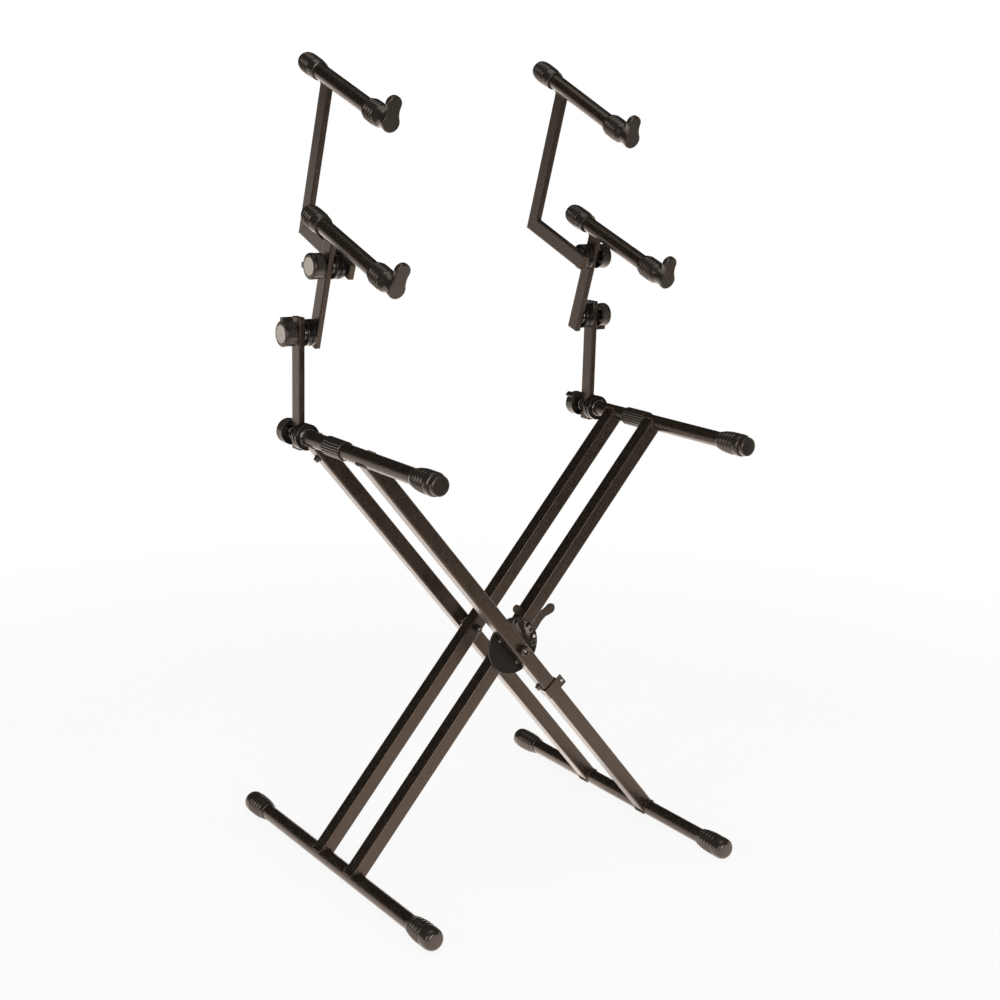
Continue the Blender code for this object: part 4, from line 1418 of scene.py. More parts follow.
    def _sleeve(self, middle: Array) -> Skin:
        """The rubber sleeve round the arm, with ribs along it.

        The radius at turn t is the envelope's, less 1 mm x ((1 + cos of the rib count
        times t) / 2)^2, faded out over the last 2 mm.

        Args:
            middle: Middle of the sleeve.

        Returns:
            The sleeve's skin.
        """
        half = self.sleeve_length / 2
        bore = SIZES.tube_radius + 0.0001
        profile = softened(
            [
                (bore, -half, 0.0), (self.sleeve_radius, -half, 0.0012),
                (self.sleeve_radius, half, 0.0012), (bore, half, 0.0),
            ],
            steps=5,
        )
        profile = held(profile, 0.002)
        steps = self.sleeve_ribs * 10
        turns = all_round(steps)
        groove = 0.0011 * ((1 + np.cos(self.sleeve_ribs * turns)) / 2) ** 2
        fade = eased((half - 0.0008 - np.abs(profile[:, 1])) / 0.0015) * (
            profile[:, 0] > self.sleeve_radius - 0.0002
        )
        radius = profile[:, :1] - fade[:, None] * groove[None]
        return Skin().turn(profile, middle, BACK, UP, steps, radius=radius, ring=True)

    def _arm_rosette(self, side: Side, arm_end: Array) -> None:
        """Build the rosette that is plugged in the arm's rear end, and its washer."""
        plug = SIZES.tube_radius - SIZES.tube_wall - GAP
        bore = SIZES.bore_radius
        deep = -self.plug_length
        profile = np.array([[bore, deep], [plug, deep], [plug, GAP], [bore, GAP]])
        skin = Skin().turn(profile, arm_end, BACK, UP, 48, ring=True)
        node = f"{side.value}_arm_rosette"
        clamp_rosette(self.shop, node, self.body, arm_end, BACK, skin)


# ---------------------------------------------------------------- pivot and lock


@dataclass
class Lock:
    """The pivots, the lock disc with its holes, the trigger with its pin, clip and studs."""

    shop: Workshop
    disc_radius: float = 0.0478
    disc_thickness: float = 0.003
    hole_circle: float = 0.0407
    hole_radius: float = 0.0038
    hole_pitch: float = math.radians(17.5)
    holes: tuple[int, int] = (-2, 4)
    pin_angle: float = math.radians(14.8)
    pin_radius: float = 0.0035
    lever_thickness: float = 0.003
    lever_setback: float = 0.0108
    lever_outline: tuple[tuple[float, float], ...] = (
        (0.0983, 0.0350), (0.0955, 0.0418), (0.0888, 0.0443), (0.0815, 0.0411), (0.0730, 0.0360),
        (0.0620, 0.0344), (0.0490, 0.0350), (0.0370, 0.0335), (0.0280, 0.0300), (0.0245, 0.0230),
        (0.0290, 0.0165), (0.0400, 0.0158), (0.0475, 0.0138), (0.0512, 0.0070), (0.0492, -0.0040),
        (0.0462, -0.0130), (0.0448, -0.0200), (0.0466, -0.0265), (0.0520, -0.0300),
        (0.0580, -0.0276), (0.0603, -0.0200), (0.0608, -0.0090), (0.0636, 0.0020), (0.0690, 0.0135),
        (0.0775, 0.0222), (0.0860, 0.0257), (0.0935, 0.0277),
    )
    clip_along: tuple[float, float] = (0.091, 0.111)
    clip_sheet: float = 0.002
    lug_reach: float = 0.0090
    stud_along: tuple[tuple[str, float], ...] = (("front", 0.086), ("rear", -0.4155))
    head_radius: dict = field(default_factory=lambda: {"front": 0.0078, "rear": 0.0060})
    head_height: float = 0.0105

    disc_weld_place: tuple[float, float] = (0.0136, 0.027)
    disc_weld_half: float = 0.0026
    disc_weld_radius: float = 0.0017
    plate_inset: float = 0.0012
    plate_thickness: float = 0.0008
    plate_bore: float = 0.0054
    shank_radius: float = 0.0050
    nut_radius: float = 0.0080
    nut_flat: float = 0.0078
    nut_height: float = 0.0074
    collar_radius: float = 0.0130

    @property
    def disc_front(self) -> float:
        """Y of the disc's front face."""
        return SIZES.leg_y(Kind.OUTER, "front") + SIZES.leg_width / 2 + GAP

    @property
    def lever_front(self) -> float:
        """Y of the lever's front face."""
        return SIZES.leg_y(Kind.INNER, "front") - SIZES.leg_width / 2 + self.lever_setback

    def _hole(self, angle: float) -> Array:
        """Place of a hole of the disc from its middle, at an angle from the right."""
        return self.hole_circle * np.array([math.cos(angle), 0.0, math.sin(angle)])

    def build(self) -> None:
        """Build every piece of the lock."""
        self._disc()
        self._friction_plate()
        self._pivots()
        self._trigger()
        self._clip()
        self._studs()

    def _disc(self) -> None:
        """Build the lock disc, cut its holes and lay its welds to the leg."""
        centre = np.array([0.0, self.disc_front, SIZES.pivot_z])
        disc = round_outline(self.disc_radius, 160)
        levels = rounded_levels(0.0, self.disc_thickness, 0.0005)
        skin = Skin().push(disc, levels, centre, BACK, EAST)
        cutter = Skin()
        low, high = self.holes
        angles = self.pin_angle + self.hole_pitch * np.arange(low, high + 1)
        far, deep = self.hole_radius, self.disc_thickness
        profile = np.array([
            [0.0, -0.002], [far + 0.0026, -0.002], [far + 0.0006, 0.0], [far, 0.0006],
            [far, deep - 0.0006], [far + 0.0006, deep], [far + 0.0026, deep + 0.002],
            [0.0, deep + 0.002],
        ])
        for angle in angles:
            cutter.turn(profile, centre + self._hole(angle), BACK, EAST, 40)
        self.shop.publish("lock_disc_steel", skin, LOCK_COAT, "outer_frame", ("lock_disc",), cutter)
        self._disc_welds()

    def _disc_welds(self) -> None:
        """Lay the spot welds that hold the disc to the outer front leg."""
        skin = Skin()
        y = self.disc_front - 0.0004
        share = np.linspace(0.0, 1.0, 24)[:, None]
        across, middle = self.disc_weld_place
        for turn, end in ((-1, -1), (-1, 1), (1, -1), (1, 1)):
            first, last = (
                SIZES.leg_point(Kind.OUTER, y, end * middle + step, turn * across)
                for step in (-self.disc_weld_half, self.disc_weld_half)
            )
            path = first + (last - first) * share
            normals = np.broadcast_to(FRONT, path.shape)
            skin.bead(path, normals, self.disc_weld_radius, closed=False)
        # Pale weld colour here is a painted highlight.
        self.shop.publish("lock_disc_welds", skin, PAINTED_HIGHLIGHT_WELD, "outer_frame")

    def _friction_plate(self) -> None:
        """Build the thin plate between the disc and the inner leg, with the pin's hole."""
        front = self.disc_front + self.disc_thickness + GAP
        centre = np.array([0.0, front, SIZES.pivot_z])
        levels = rounded_levels(0.0, self.plate_thickness, 0.0002)
        outline = round_outline(self.disc_radius - self.plate_inset, 120)
        skin = Skin().push(outline, levels, centre, BACK, EAST)
        pin = centre + self._hole(self.pin_angle)
        cutter = Skin()
        for place, radius in ((pin, self.pin_radius + 0.0006), (centre, self.plate_bore)):
            profile = np.array([[0.0, -0.002], [radius, -0.002], [radius, 0.003], [0.0, 0.003]])
            cutter.turn(profile, place, BACK, EAST, 36)
        self.shop.publish("lock_friction_plate", skin, RUBBER, "inner_frame", carve=cutter)

    def _pivots(self) -> None:
        """Build the two pivot bolts with their capped heads, shanks and nuts."""
        half = SIZES.leg_width / 2
        outer, inner = (SIZES.leg_y(kind, "rear") for kind in Kind)
        front = SIZES.leg_y(Kind.OUTER, "front") - half
        grip = SIZES.leg_y(Kind.INNER, "front") + half - front
        self._bolt("front", front, grip, None)
        self._bolt("rear", inner - half, outer - inner + 2 * half, (2 * half, outer - inner))

    def _bolt(
        self, end: str, head_y: float, grip: float, spacer: Optional[tuple[float, float]]
    ) -> None:
        """Build a bolt whose head bears at a depth, looking to the front.

        Args:
            end: "front" or "rear".
            head_y: Y of the face that the head bears on.
            grip: Distance from there to the face that the nut bears on.
            spacer: Distances behind head_y between which a spacer collar lies, or None.
        """
        origin = np.array([0.0, head_y, SIZES.pivot_z])
        far = self.head_radius[end]
        tall = self.head_height
        hollow = far * 0.36
        cap = softened(
            [
                (0.0, tall - 0.0034, 0.0), (hollow, tall - 0.0034, 0.0),
                (hollow, tall - 0.0012, 0.0004), (far - 0.0020, tall - 0.0003, 0.0008),
                (far - 0.0006, tall - 0.0012, 0.0008), (far, tall - 0.0034, 0.0008),
                (far, GAP, 0.0004), (0.0, GAP, 0.0),
            ],
            steps=4,
        )
        skin = Skin().turn(cap, origin, FRONT, EAST, 72)
        node = f"pivot_bolt_{end}"
        self.shop.publish(node + "_head", skin, ROSETTE, "outer_frame", (node,))
        shank = softened(
            [
                (0.0, tall - 0.0014, 0.0), (0.0014, tall - 0.0014, 0.0),
                (hollow - 0.0004, tall - 0.0024, 0.0004), (hollow - 0.0004, tall - 0.0040, 0.0),
                (0.0, tall - 0.0040, 0.0),
            ],
            steps=3,
        )
        skin = Skin().turn(shank, origin, FRONT, EAST, 48)
        rod, end_of_rod = self.shank_radius, -grip - self.nut_height - 0.0021
        profile = np.array([[0.0, GAP], [rod, GAP], [rod, end_of_rod], [0.0, end_of_rod]])
        skin.turn(profile, origin, FRONT, EAST, 48)
        wide, low = self.nut_radius, -self.nut_height
        nut = np.array(
            [[rod, -GAP], [wide, -GAP], [wide, low + 0.0008], [wide - 0.0013, low], [rod, low]]
        )
        nut[:, 1] -= grip
        steps = 72
        radius = np.repeat(nut[:, :1], steps, axis=1)
        radius[np.abs(nut[:, 0] - wide) < MERGE] = hex_radius(self.nut_flat, steps)
        skin.turn(nut, origin, FRONT, EAST, steps, radius=radius, ring=True)
        washer(skin, origin + BACK * grip, BACK, 0.0098, 0.0001, 0.0012)
        if spacer:
            washer(skin, origin, BACK, self.collar_radius, spacer[0] + GAP, spacer[1] - GAP)
        self.shop.publish(node + "_zinc", skin, ZINC, "outer_frame")

    def _trigger(self) -> None:
        """Build the lever plate and the pin riveted to it."""
        centre = np.array([0.0, self.lever_front, SIZES.pivot_z])
        run = SIZES.leg_run(Kind.INNER)
        outline = smooth_outline(self.lever_outline)
        levels = rounded_levels(0.0, self.lever_thickness, 0.0006)
        skin = Skin().push(outline, levels, centre, BACK, run)
        self.shop.publish(
            "release_lever_steel", skin, POWDER_COAT, "lock_trigger", ("release_lever",)
        )
        reach = self.lever_front - self.disc_front + 0.0030
        far = self.pin_radius
        back = self.lever_thickness
        profile = softened(
            [
                (0.0, reach, 0.0), (far - 0.0009, reach, 0.0006), (far, reach - 0.0012, 0.0006),
                (far, 0.0016, 0.0), (far + 0.0020, 0.0012, 0.0004), (far + 0.0020, GAP, 0.0),
                (far - 0.0006, GAP, 0.0), (far - 0.0006, -back, 0.0), (far + 0.0008, -back, 0.0),
                (far + 0.0004, -back - 0.0010, 0.0006), (0.0, -back - 0.0013, 0.0),
            ],
            steps=4,
        )
        skin = Skin().turn(profile, centre + self._hole(self.pin_angle), FRONT, EAST, 56)
        self.shop.publish("lock_pin_zinc", skin, ZINC, "lock_trigger", ("lock_pin",))

    def _clip(self) -> None:
        """Build the sheet clip round the outer front leg, its lug and its rivet."""
        inside = SIZES.leg_width / 2 + GAP
        outside = inside + self.clip_sheet
        depth = SIZES.leg_width / 2 - 0.004
        lug = outside + self.lug_reach
        bend, tight = 0.0024, 0.0006
        outline = softened(
            [
                (-outside, -outside, bend), (lug, -outside, tight), (lug, -inside, tight),
                (outside, -inside, tight), (outside, depth, 0.0008), (inside, depth, 0.0008),
                (inside, -inside, tight), (-inside, -inside, tight), (-inside, depth, 0.0008),
                (-outside, depth, 0.0008),
            ],
            closed=True, steps=4,
        )
        low, high = self.clip_along
        y = SIZES.leg_y(Kind.OUTER, "front")
        middle = SIZES.leg_point(Kind.OUTER, y, (low + high) / 2)
        side = SIZES.leg_side(Kind.OUTER)
        half = (high - low) / 2
        levels = rounded_levels(-half, half, 0.0005)
        skin = Skin().push(outline, levels, middle, np.cross(side, BACK), side)
        self.shop.publish("leg_clip_steel", skin, POWDER_COAT, "outer_frame", ("leg_clip",))
        face = y - outside
        rivet = softened([
            (0.0, 0.0016, 0.0), (0.0014, 0.0015, 0.0004), (0.0024, 0.0006, 0.0003),
            (0.0026, 0.0, 0.0), (0.0, -0.001, 0.0),
        ])
        place = SIZES.leg_point(Kind.OUTER, face, (low + high) / 2, outside + self.lug_reach / 2)
        skin = Skin().turn(rivet, place, FRONT, EAST, 40)
        self.shop.publish("leg_clip_rivet_zinc", skin, ZINC, "outer_frame")

    def _studs(self) -> None:
        """Build the stubby studs on the undersides of the outer legs."""
        profile = softened(
            [
                (0.0, 0.0068, 0.0), (0.0046, 0.0068, 0.0010), (0.0050, 0.0026, 0.0),
                (0.0062, 0.0022, 0.0004), (0.0062, GAP, 0.0), (0.0, GAP, 0.0),
            ],
            steps=4,
        )
        for end, along in self.stud_along:
            y = SIZES.leg_y(Kind.OUTER, end)
            place = SIZES.leg_point(Kind.OUTER, y, along, -SIZES.leg_width / 2)
            skin = Skin().turn(profile, place, -SIZES.leg_side(Kind.OUTER), BACK, 48)
            node = f"leg_stud_{end}"
            self.shop.publish(node + "_rubber", skin, RUBBER, "outer_frame", (node,))


# ---------------------------------------------------------------- tiers


@dataclass(frozen=True)
class KnobShape:
    """A clamp knob: hollow moulded body with one ear, a face insert and its screw."""

    radius: float = 0.0203
    face: float = 0.0258
    rim: float = 0.0055
    boss: float = 0.008
    insert: float = 0.0142
    screw: float = 0.003
    wall: float = 0.0022

    def body_skin(self, origin: Array, axis: Array, ear: Array) -> Skin:
        """The moulded body, whose boss bears at the origin.

        Args:
            origin: Point that the knob bears at.
            axis: Direction of its face.
            ear: Direction of its ear.

        Returns:
            The skin.
        """
        top = self.face - 0.0008
        far = self.radius
        inner = far - self.wall
        profile = softened(
            [
                (0.0, top, 0.0), (self.insert + 0.0004, top, 0.0),
                (self.insert + 0.0008, top + 0.0004, 0.0), (far - 0.0030, top + 0.0002, 0.0),
                (far, top, 0.0026), (far, top - 0.0066, 0.0), (far - 0.0004, top - 0.0070, 0.0),
                (far - 0.0004, self.rim + 0.0026, 0.0), (far - 0.0009, self.rim + 0.0023, 0.0),
                (far - 0.0009, self.rim + 0.0017, 0.0), (far, self.rim + 0.0014, 0.0),
                (far, self.rim, 0.0005), (inner, self.rim, 0.0005),
                (inner, self.rim + 0.010, 0.001), (self.boss, self.rim + 0.010, 0.001),
                (self.boss, GAP, 0.0005), (0.0, GAP, 0.0),
            ],
            steps=5,
        )
        skin = Skin().turn(profile, origin, axis, ear, 96)
        length = self.face - self.rim - 0.002
        outline = rounded_box_outline(0.011, 0.0095, 0.0022, 4)
        start = self.rim + 0.0006
        middle = origin + unit(ear) * self.radius
        levels = rounded_levels(start, start + length, 0.0010)
        return skin.push(outline, levels, middle, axis, ear)

    def insert_skin(self, origin: Array, axis: Array) -> Skin:
        """The pale disc let into the knob's face."""
        profile = softened([
            (0.0, self.face, 0.0), (self.insert, self.face, 0.0005),
            (self.insert, self.face - 0.0012, 0.0), (0.0, self.face - 0.0012, 0.0),
        ])
        return Skin().turn(profile, origin, axis, UP, 72)

    def screw_skin(self, origin: Array, axis: Array, length: float) -> Skin:
        """The zinc screw with its rolled thread and the washer under the boss."""
        heights = np.arange(-length + 0.0008, 0.0, 0.0003)
        ripple = 0.00022 * np.cos(2 * math.pi * heights / 0.0012)
        rod = np.stack([self.screw - 0.0002 + ripple, heights], axis=1)
        ends = ([[0.0, -length]], [[self.screw - 0.0010, -length]], rod, [[0.0, 0.0]])
        skin = Skin().turn(np.vstack(ends), origin, axis, UP, 24)
        return washer(skin, origin, axis, 0.0100, 0.0002, 0.0012)


@dataclass(frozen=True)
class TierPlace:
    """Where one tier tube sits, how it tilts and where its stop is, from the photograph.

    The reach is along the flat tube to the tier tube, the tilt down towards the player
    and the roll of the stop on its tube are in degrees.
    """

    reach: float
    tilt: float
    stop: float
    roll: float
    back_cap: RibbedCap = BACK_CAP


TIER_PLACES = {
    "left_tier2": TierPlace(reach=0.1632, tilt=19.2, stop=0.1370, roll=9.0),
    "right_tier2": TierPlace(reach=0.1574, tilt=19.5, stop=0.1340, roll=-8.0),
    "left_tier3": TierPlace(reach=0.2437, tilt=19.2, stop=0.1320, roll=0.0, back_cap=SLIM_BACK_CAP),
    "right_tier3": TierPlace(reach=0.2414, tilt=23.4, stop=0.1385, roll=-12.0),
}


@dataclass
class TierStack:
    """One side's post, link and upright, with their joints, knobs and two tiers."""

    side: Side
    shop: Workshop
    post_foot: float = 0.0235
    post_head: float = 0.0255
    lower_tilt_height: float = 0.1588
    link_lean: float = math.radians(17.0)
    link_tail: float = 0.0235
    lower_to_upper: float = 0.1102
    upright_rise: float = math.radians(20.6)
    upright_tail: float = 0.0265
    upper_to_bend: float = 0.1321
    upright_lean: float = math.radians(17.1)
    tier_back: float = 0.079
    back_cap_length: float = 0.054
    back_cap_pocket: float = 0.047
    stop_pocket: float = 0.043
    stop_neck: float = 0.0575
    stop_plate: float = 0.009
    lower_lobe: float = 0.0143
    upper_lobe: float = 0.0123
    lobe_spacing: float = 0.0285
    waist: float = 0.030
    tier_weld: float = 0.0016
    screw_ends: tuple[float, float] = (0.008, 0.006)
    knob: KnobShape = KnobShape()
    flat: FlatTube = FlatTube()

    @property
    def outward(self) -> Array:
        """Direction away from the stand's middle."""
        return EAST * self.side.sign

    def spot(self, place: Array, level: int) -> Array:
        """A point (y, z) at the X of the post (0), link (1) or upright (2)."""
        x = self.side.sign * (SIZES.arm_x - level * SIZES.tier_pitch)
        return np.array([x, place[0], place[1]])

    def build(self) -> None:
        """Build every piece of the stack."""
        lower = np.array([SIZES.post_y, SIZES.arm_z + self.lower_tilt_height])
        lean = np.array([-math.sin(self.link_lean), math.cos(self.link_lean)])
        upper = lower + lean * self.lower_to_upper
        self._post(lower)
        self._link(lower, upper, lean)
        self._upright(upper)

    def _flat(self, node: str, path: Sequence[Array], body: str, level: int, skin: Skin) -> None:
        """Publish a flat tube along a path of (y, z) points, with what is welded to it."""
        self.flat.lay(skin, np.array(path), self.spot(path[0], level)[0])
        self.shop.publish(node + "_steel", skin, POWDER_COAT, body, (node,))

    def _face_rosette(self, node: str, body: str, joint: Array, outward: bool) -> None:
        """Publish the rosette on one face of a flat tube that a joint's axis crosses."""
        axis = self.outward if outward else -self.outward
        half = SIZES.flat_thickness / 2
        clamp_rosette(self.shop, f"{self.side.value}_{node}", body, joint + axis * half, axis)

    def _knob(self, node: str, bearing: Array, axis: Array, ear: Array, length: float) -> None:
        """Publish a knob's body, insert and screw on the knob's own body.

        Args:
            node: The knob's solid and body.
            bearing: Point that its boss bears at.
            axis: Direction of its face.
            ear: Direction of its ear.
            length: Length of its screw past the bearing.
        """
        skin = self.knob.body_skin(bearing, axis, ear)
        self.shop.publish(node + "_moulding", skin, KNOB, node, (node,))
        self.shop.publish(node + "_insert", self.knob.insert_skin(bearing, axis), INSERT, node)
        screw = self.knob.screw_skin(bearing, axis, length)
        self.shop.publish(node + "_screw_zinc", screw, ZINC, node)

    def _tilt_knob(self, node: str, joint: Array, ear: Array) -> None:
        """Publish the knob on the outer face of a flat tube that a joint's axis crosses."""
        length = SIZES.flat_thickness + SIZES.rosette_stack + self.screw_ends[1]
        bearing = joint + self.outward * SIZES.flat_thickness / 2
        self._knob(f"{self.side.value}_{node}", bearing, self.outward, ear, length)

    def _post(self, lower: Array) -> None:
        """Build the post, its two rosettes, the swivel knob behind it and the lower tilt knob.

        Args:
            lower: Point (y, z) of the lower tilt joint.
        """
        name = self.side.value
        body = f"{name}_post"
        top = np.array([SIZES.post_y, lower[1] + self.post_head])
        foot = np.array([SIZES.post_y, SIZES.arm_z - self.post_foot])
        self._flat(body, (top, foot), body, 0, Skin())
        arm_end = self.spot(np.array([SIZES.arm_rear, SIZES.arm_z]), 0)
        face = arm_end + BACK * SIZES.rosette_stack
        clamp_rosette(self.shop, f"{name}_post_base_rosette", body, face, FRONT)
        joint = self.spot(lower, 0)
        self._face_rosette("post_top_rosette", body, joint, False)
        length = SIZES.flat_depth + SIZES.rosette_stack + self.screw_ends[0]
        bearing = face + BACK * SIZES.flat_depth
        self._knob(f"{name}_swivel_knob", bearing, BACK, UP - self.outward, length)
        self._tilt_knob("lower_tilt_knob", joint, -self.side.sign * UP)

    def _link(self, lower: Array, upper: Array, lean: Array) -> None:
        """Build the link with its rosettes, the upper knob and the second tier.

        Args:
            lower: Point (y, z) of the lower tilt joint.
            upper: Point (y, z) of the upper tilt joint.
            lean: Direction (y, z) from the one to the other.
        """
        body = f"{self.side.value}_link"
        place = TIER_PLACES[f"{self.side.value}_tier2"]
        tier = lower + lean * place.reach
        tilt = math.radians(place.tilt)
        skin = Skin()
        self._tube_weld(skin, tier, lean, tilt, 1)
        self._flat(body, (lower - lean * self.link_tail, tier - lean * 0.004), body, 1, skin)
        self._face_rosette("link_lower_rosette", body, self.spot(lower, 1), True)
        self._face_rosette("link_upper_rosette", body, self.spot(upper, 1), False)
        self._tilt_knob("upper_tilt_knob", self.spot(upper, 1), BACK)
        self._tier("tier2", body, self.spot(tier, 1))

    def _upright(self, upper: Array) -> None:
        """Build the L-shaped upright with its rosette and the third tier.

        Args:
            upper: Point (y, z) of the upper tilt joint.
        """
        name = self.side.value
        body = f"{name}_upright"
        place = TIER_PLACES[f"{name}_tier3"]
        rise = np.array([math.cos(self.upright_rise), math.sin(self.upright_rise)])
        climb = np.array([-math.sin(self.upright_lean), math.cos(self.upright_lean)])
        bend = upper + rise * self.upper_to_bend
        tier = bend + climb * place.reach
        tilt = math.radians(place.tilt)
        skin = Skin()
        self._tube_weld(skin, tier, climb, tilt, 2)
        path = (upper - rise * self.upright_tail, bend, tier - climb * 0.004)
        self._flat(f"{name}_tier3_upright", path, body, 2, skin)
        self._face_rosette("tier3_rosette", body, self.spot(upper, 2), True)
        self._tier("tier3", body, self.spot(tier, 2))

    def _tube_weld(self, skin: Skin, tier: Array, climb: Array, tilt: float, level: int) -> None:
        """Lay the weld where a flat tube meets a tier tube from below.

        At a point (a, b) of the section, a along the flat and b across it, the bead
        lies below the tube's axis by the root of (tube radius squared - b squared),
        less a times the tangent of the angle by which the two are out of square.

        Args:
            skin: The flat tube's skin.
            tier: Point (y, z) where the axes cross.
            climb: Direction (y, z) of the flat tube towards the tier.
            tilt: Tilt of the tier tube.
            level: 1 for the link, 2 for the upright.
        """
        box = rounded_box_outline(SIZES.flat_depth, SIZES.flat_thickness, self.flat.corner, 6)
        outline = dense(box, WELD_STEP, True)
        across = np.array([-climb[1], climb[0]])
        tube = np.array([math.cos(tilt), math.sin(tilt)])
        slope = float(tube @ climb) / float(tube @ across)
        drop = np.sqrt(SIZES.tube_radius**2 - outline[:, 1] ** 2) / math.cos(math.atan(slope))
        rise = slope * outline[:, 0] - drop - 0.0002
        places = tier + rise[:, None] * climb
        section_weld(skin, outline, self.spot(tier, level)[0], places, across, self.tier_weld)

    def _tier(self, tier: str, body: str, point: Array) -> None:
        """Build a tier tube with its back cap and its stop.

        Args:
            tier: "tier2" or "tier3".
            body: Body of the tube.
            point: Where the tube crosses the flat tube's middle line.
        """
        name = f"{self.side.value}_{tier}"
        place = TIER_PLACES[name]
        tilt, roll = math.radians(place.tilt), math.radians(place.roll)
        along = np.array([0.0, -math.cos(tilt), -math.sin(tilt)])
        square = np.array([0.0, -math.sin(tilt), math.cos(tilt)])
        low = -self.tier_back + self.back_cap_length - self.back_cap_pocket
        skin = round_tube(Skin(), point, along, low, place.stop + self.stop_pocket)
        self.shop.publish(name + "_steel", skin, POWDER_COAT, body, (name + "_tube",))
        open_end = point - along * (self.tier_back - self.back_cap_length)
        skin = place.back_cap.lay(Skin(), open_end, -along, square, self.back_cap_pocket + GAP)
        node = name + "_back_cap"
        self.shop.publish(name + "_back_rubber", skin, RUBBER, body, (node,), crease=RIBS_CREASE)
        origin = point + along * place.stop
        upright = square * math.cos(roll) + EAST * math.sin(roll)
        skin = STOP_CAP.lay(Skin(), origin, along, upright, self.stop_pocket + GAP)
        levels = rounded_levels(self.stop_neck, self.stop_neck + self.stop_plate, 0.0022, 5)
        skin.push(self._stop_outline(), levels, origin, along, np.cross(upright, along))
        node, body = name + "_stop_cap", name + "_stop"
        self.shop.publish(name + "_stop_rubber", skin, RUBBER, body, (node,), crease=RIBS_CREASE)

    def _stop_outline(self) -> Array:
        """Outline of a stop plate: two round lobes joined by hollow flanks.

        The flanks are arcs of the waist's radius that touch both lobes: each arc's
        middle lies at lobe radius + waist radius from each lobe's middle.

        Returns:
            The outline, counter-clockwise.
        """
        low, high = self.lower_lobe + self.waist, self.upper_lobe + self.waist
        gap = self.lobe_spacing
        rise = (low**2 - high**2 + gap**2) / (2 * gap)
        reach = math.sqrt(low**2 - rise**2)
        to_low, to_high = math.atan2(rise, reach), math.atan2(gap - rise, reach)

        def arc(x: float, y: float, radius: float, start: float, end: float, steps: int) -> Array:
            """Points of an arc from one angle to another."""
            turns = np.linspace(start, end, steps + 1)[:-1]
            return np.stack([x + radius * np.cos(turns), y + radius * np.sin(turns)], axis=1)

        return np.vstack([
            arc(0.0, 0.0, self.lower_lobe, -math.pi - to_low, to_low, 40),
            arc(reach, rise, self.waist, math.pi + to_low, math.pi - to_high, 12),
            arc(0.0, gap, self.upper_lobe, -to_high, math.pi + to_high, 36),
            arc(-reach, rise, self.waist, to_high, -to_low, 12),
        ])


# ---------------------------------------------------------------- studio


@dataclass(frozen=True)
class Softbox:
    """A soft rectangular lamp: its place, its size, its power in watts and its colour."""

    name: str
    place: tuple[float, float, float]
    size: tuple[float, float]
    power: float
    colour: Colour


SOFTBOXES = (
    Softbox("right_softbox", (3.3, -1.7, 0.9), (0.7, 1.6), 12.0, (1.0, 0.94, 0.90)),
    Softbox("top_softbox", (-0.2, 0.2, 4.0), (2.2, 2.2), 20.0, (1.0, 0.98, 0.96)),
    Softbox("left_softbox", (-3.2, -0.9, 1.3), (0.9, 1.6), 18.0, (1.0, 0.94, 0.89)),
    Softbox("front_softbox", (-0.9, -3.7, 1.3), (2.4, 1.6), 70.0, (1.0, 0.95, 0.91)),
)


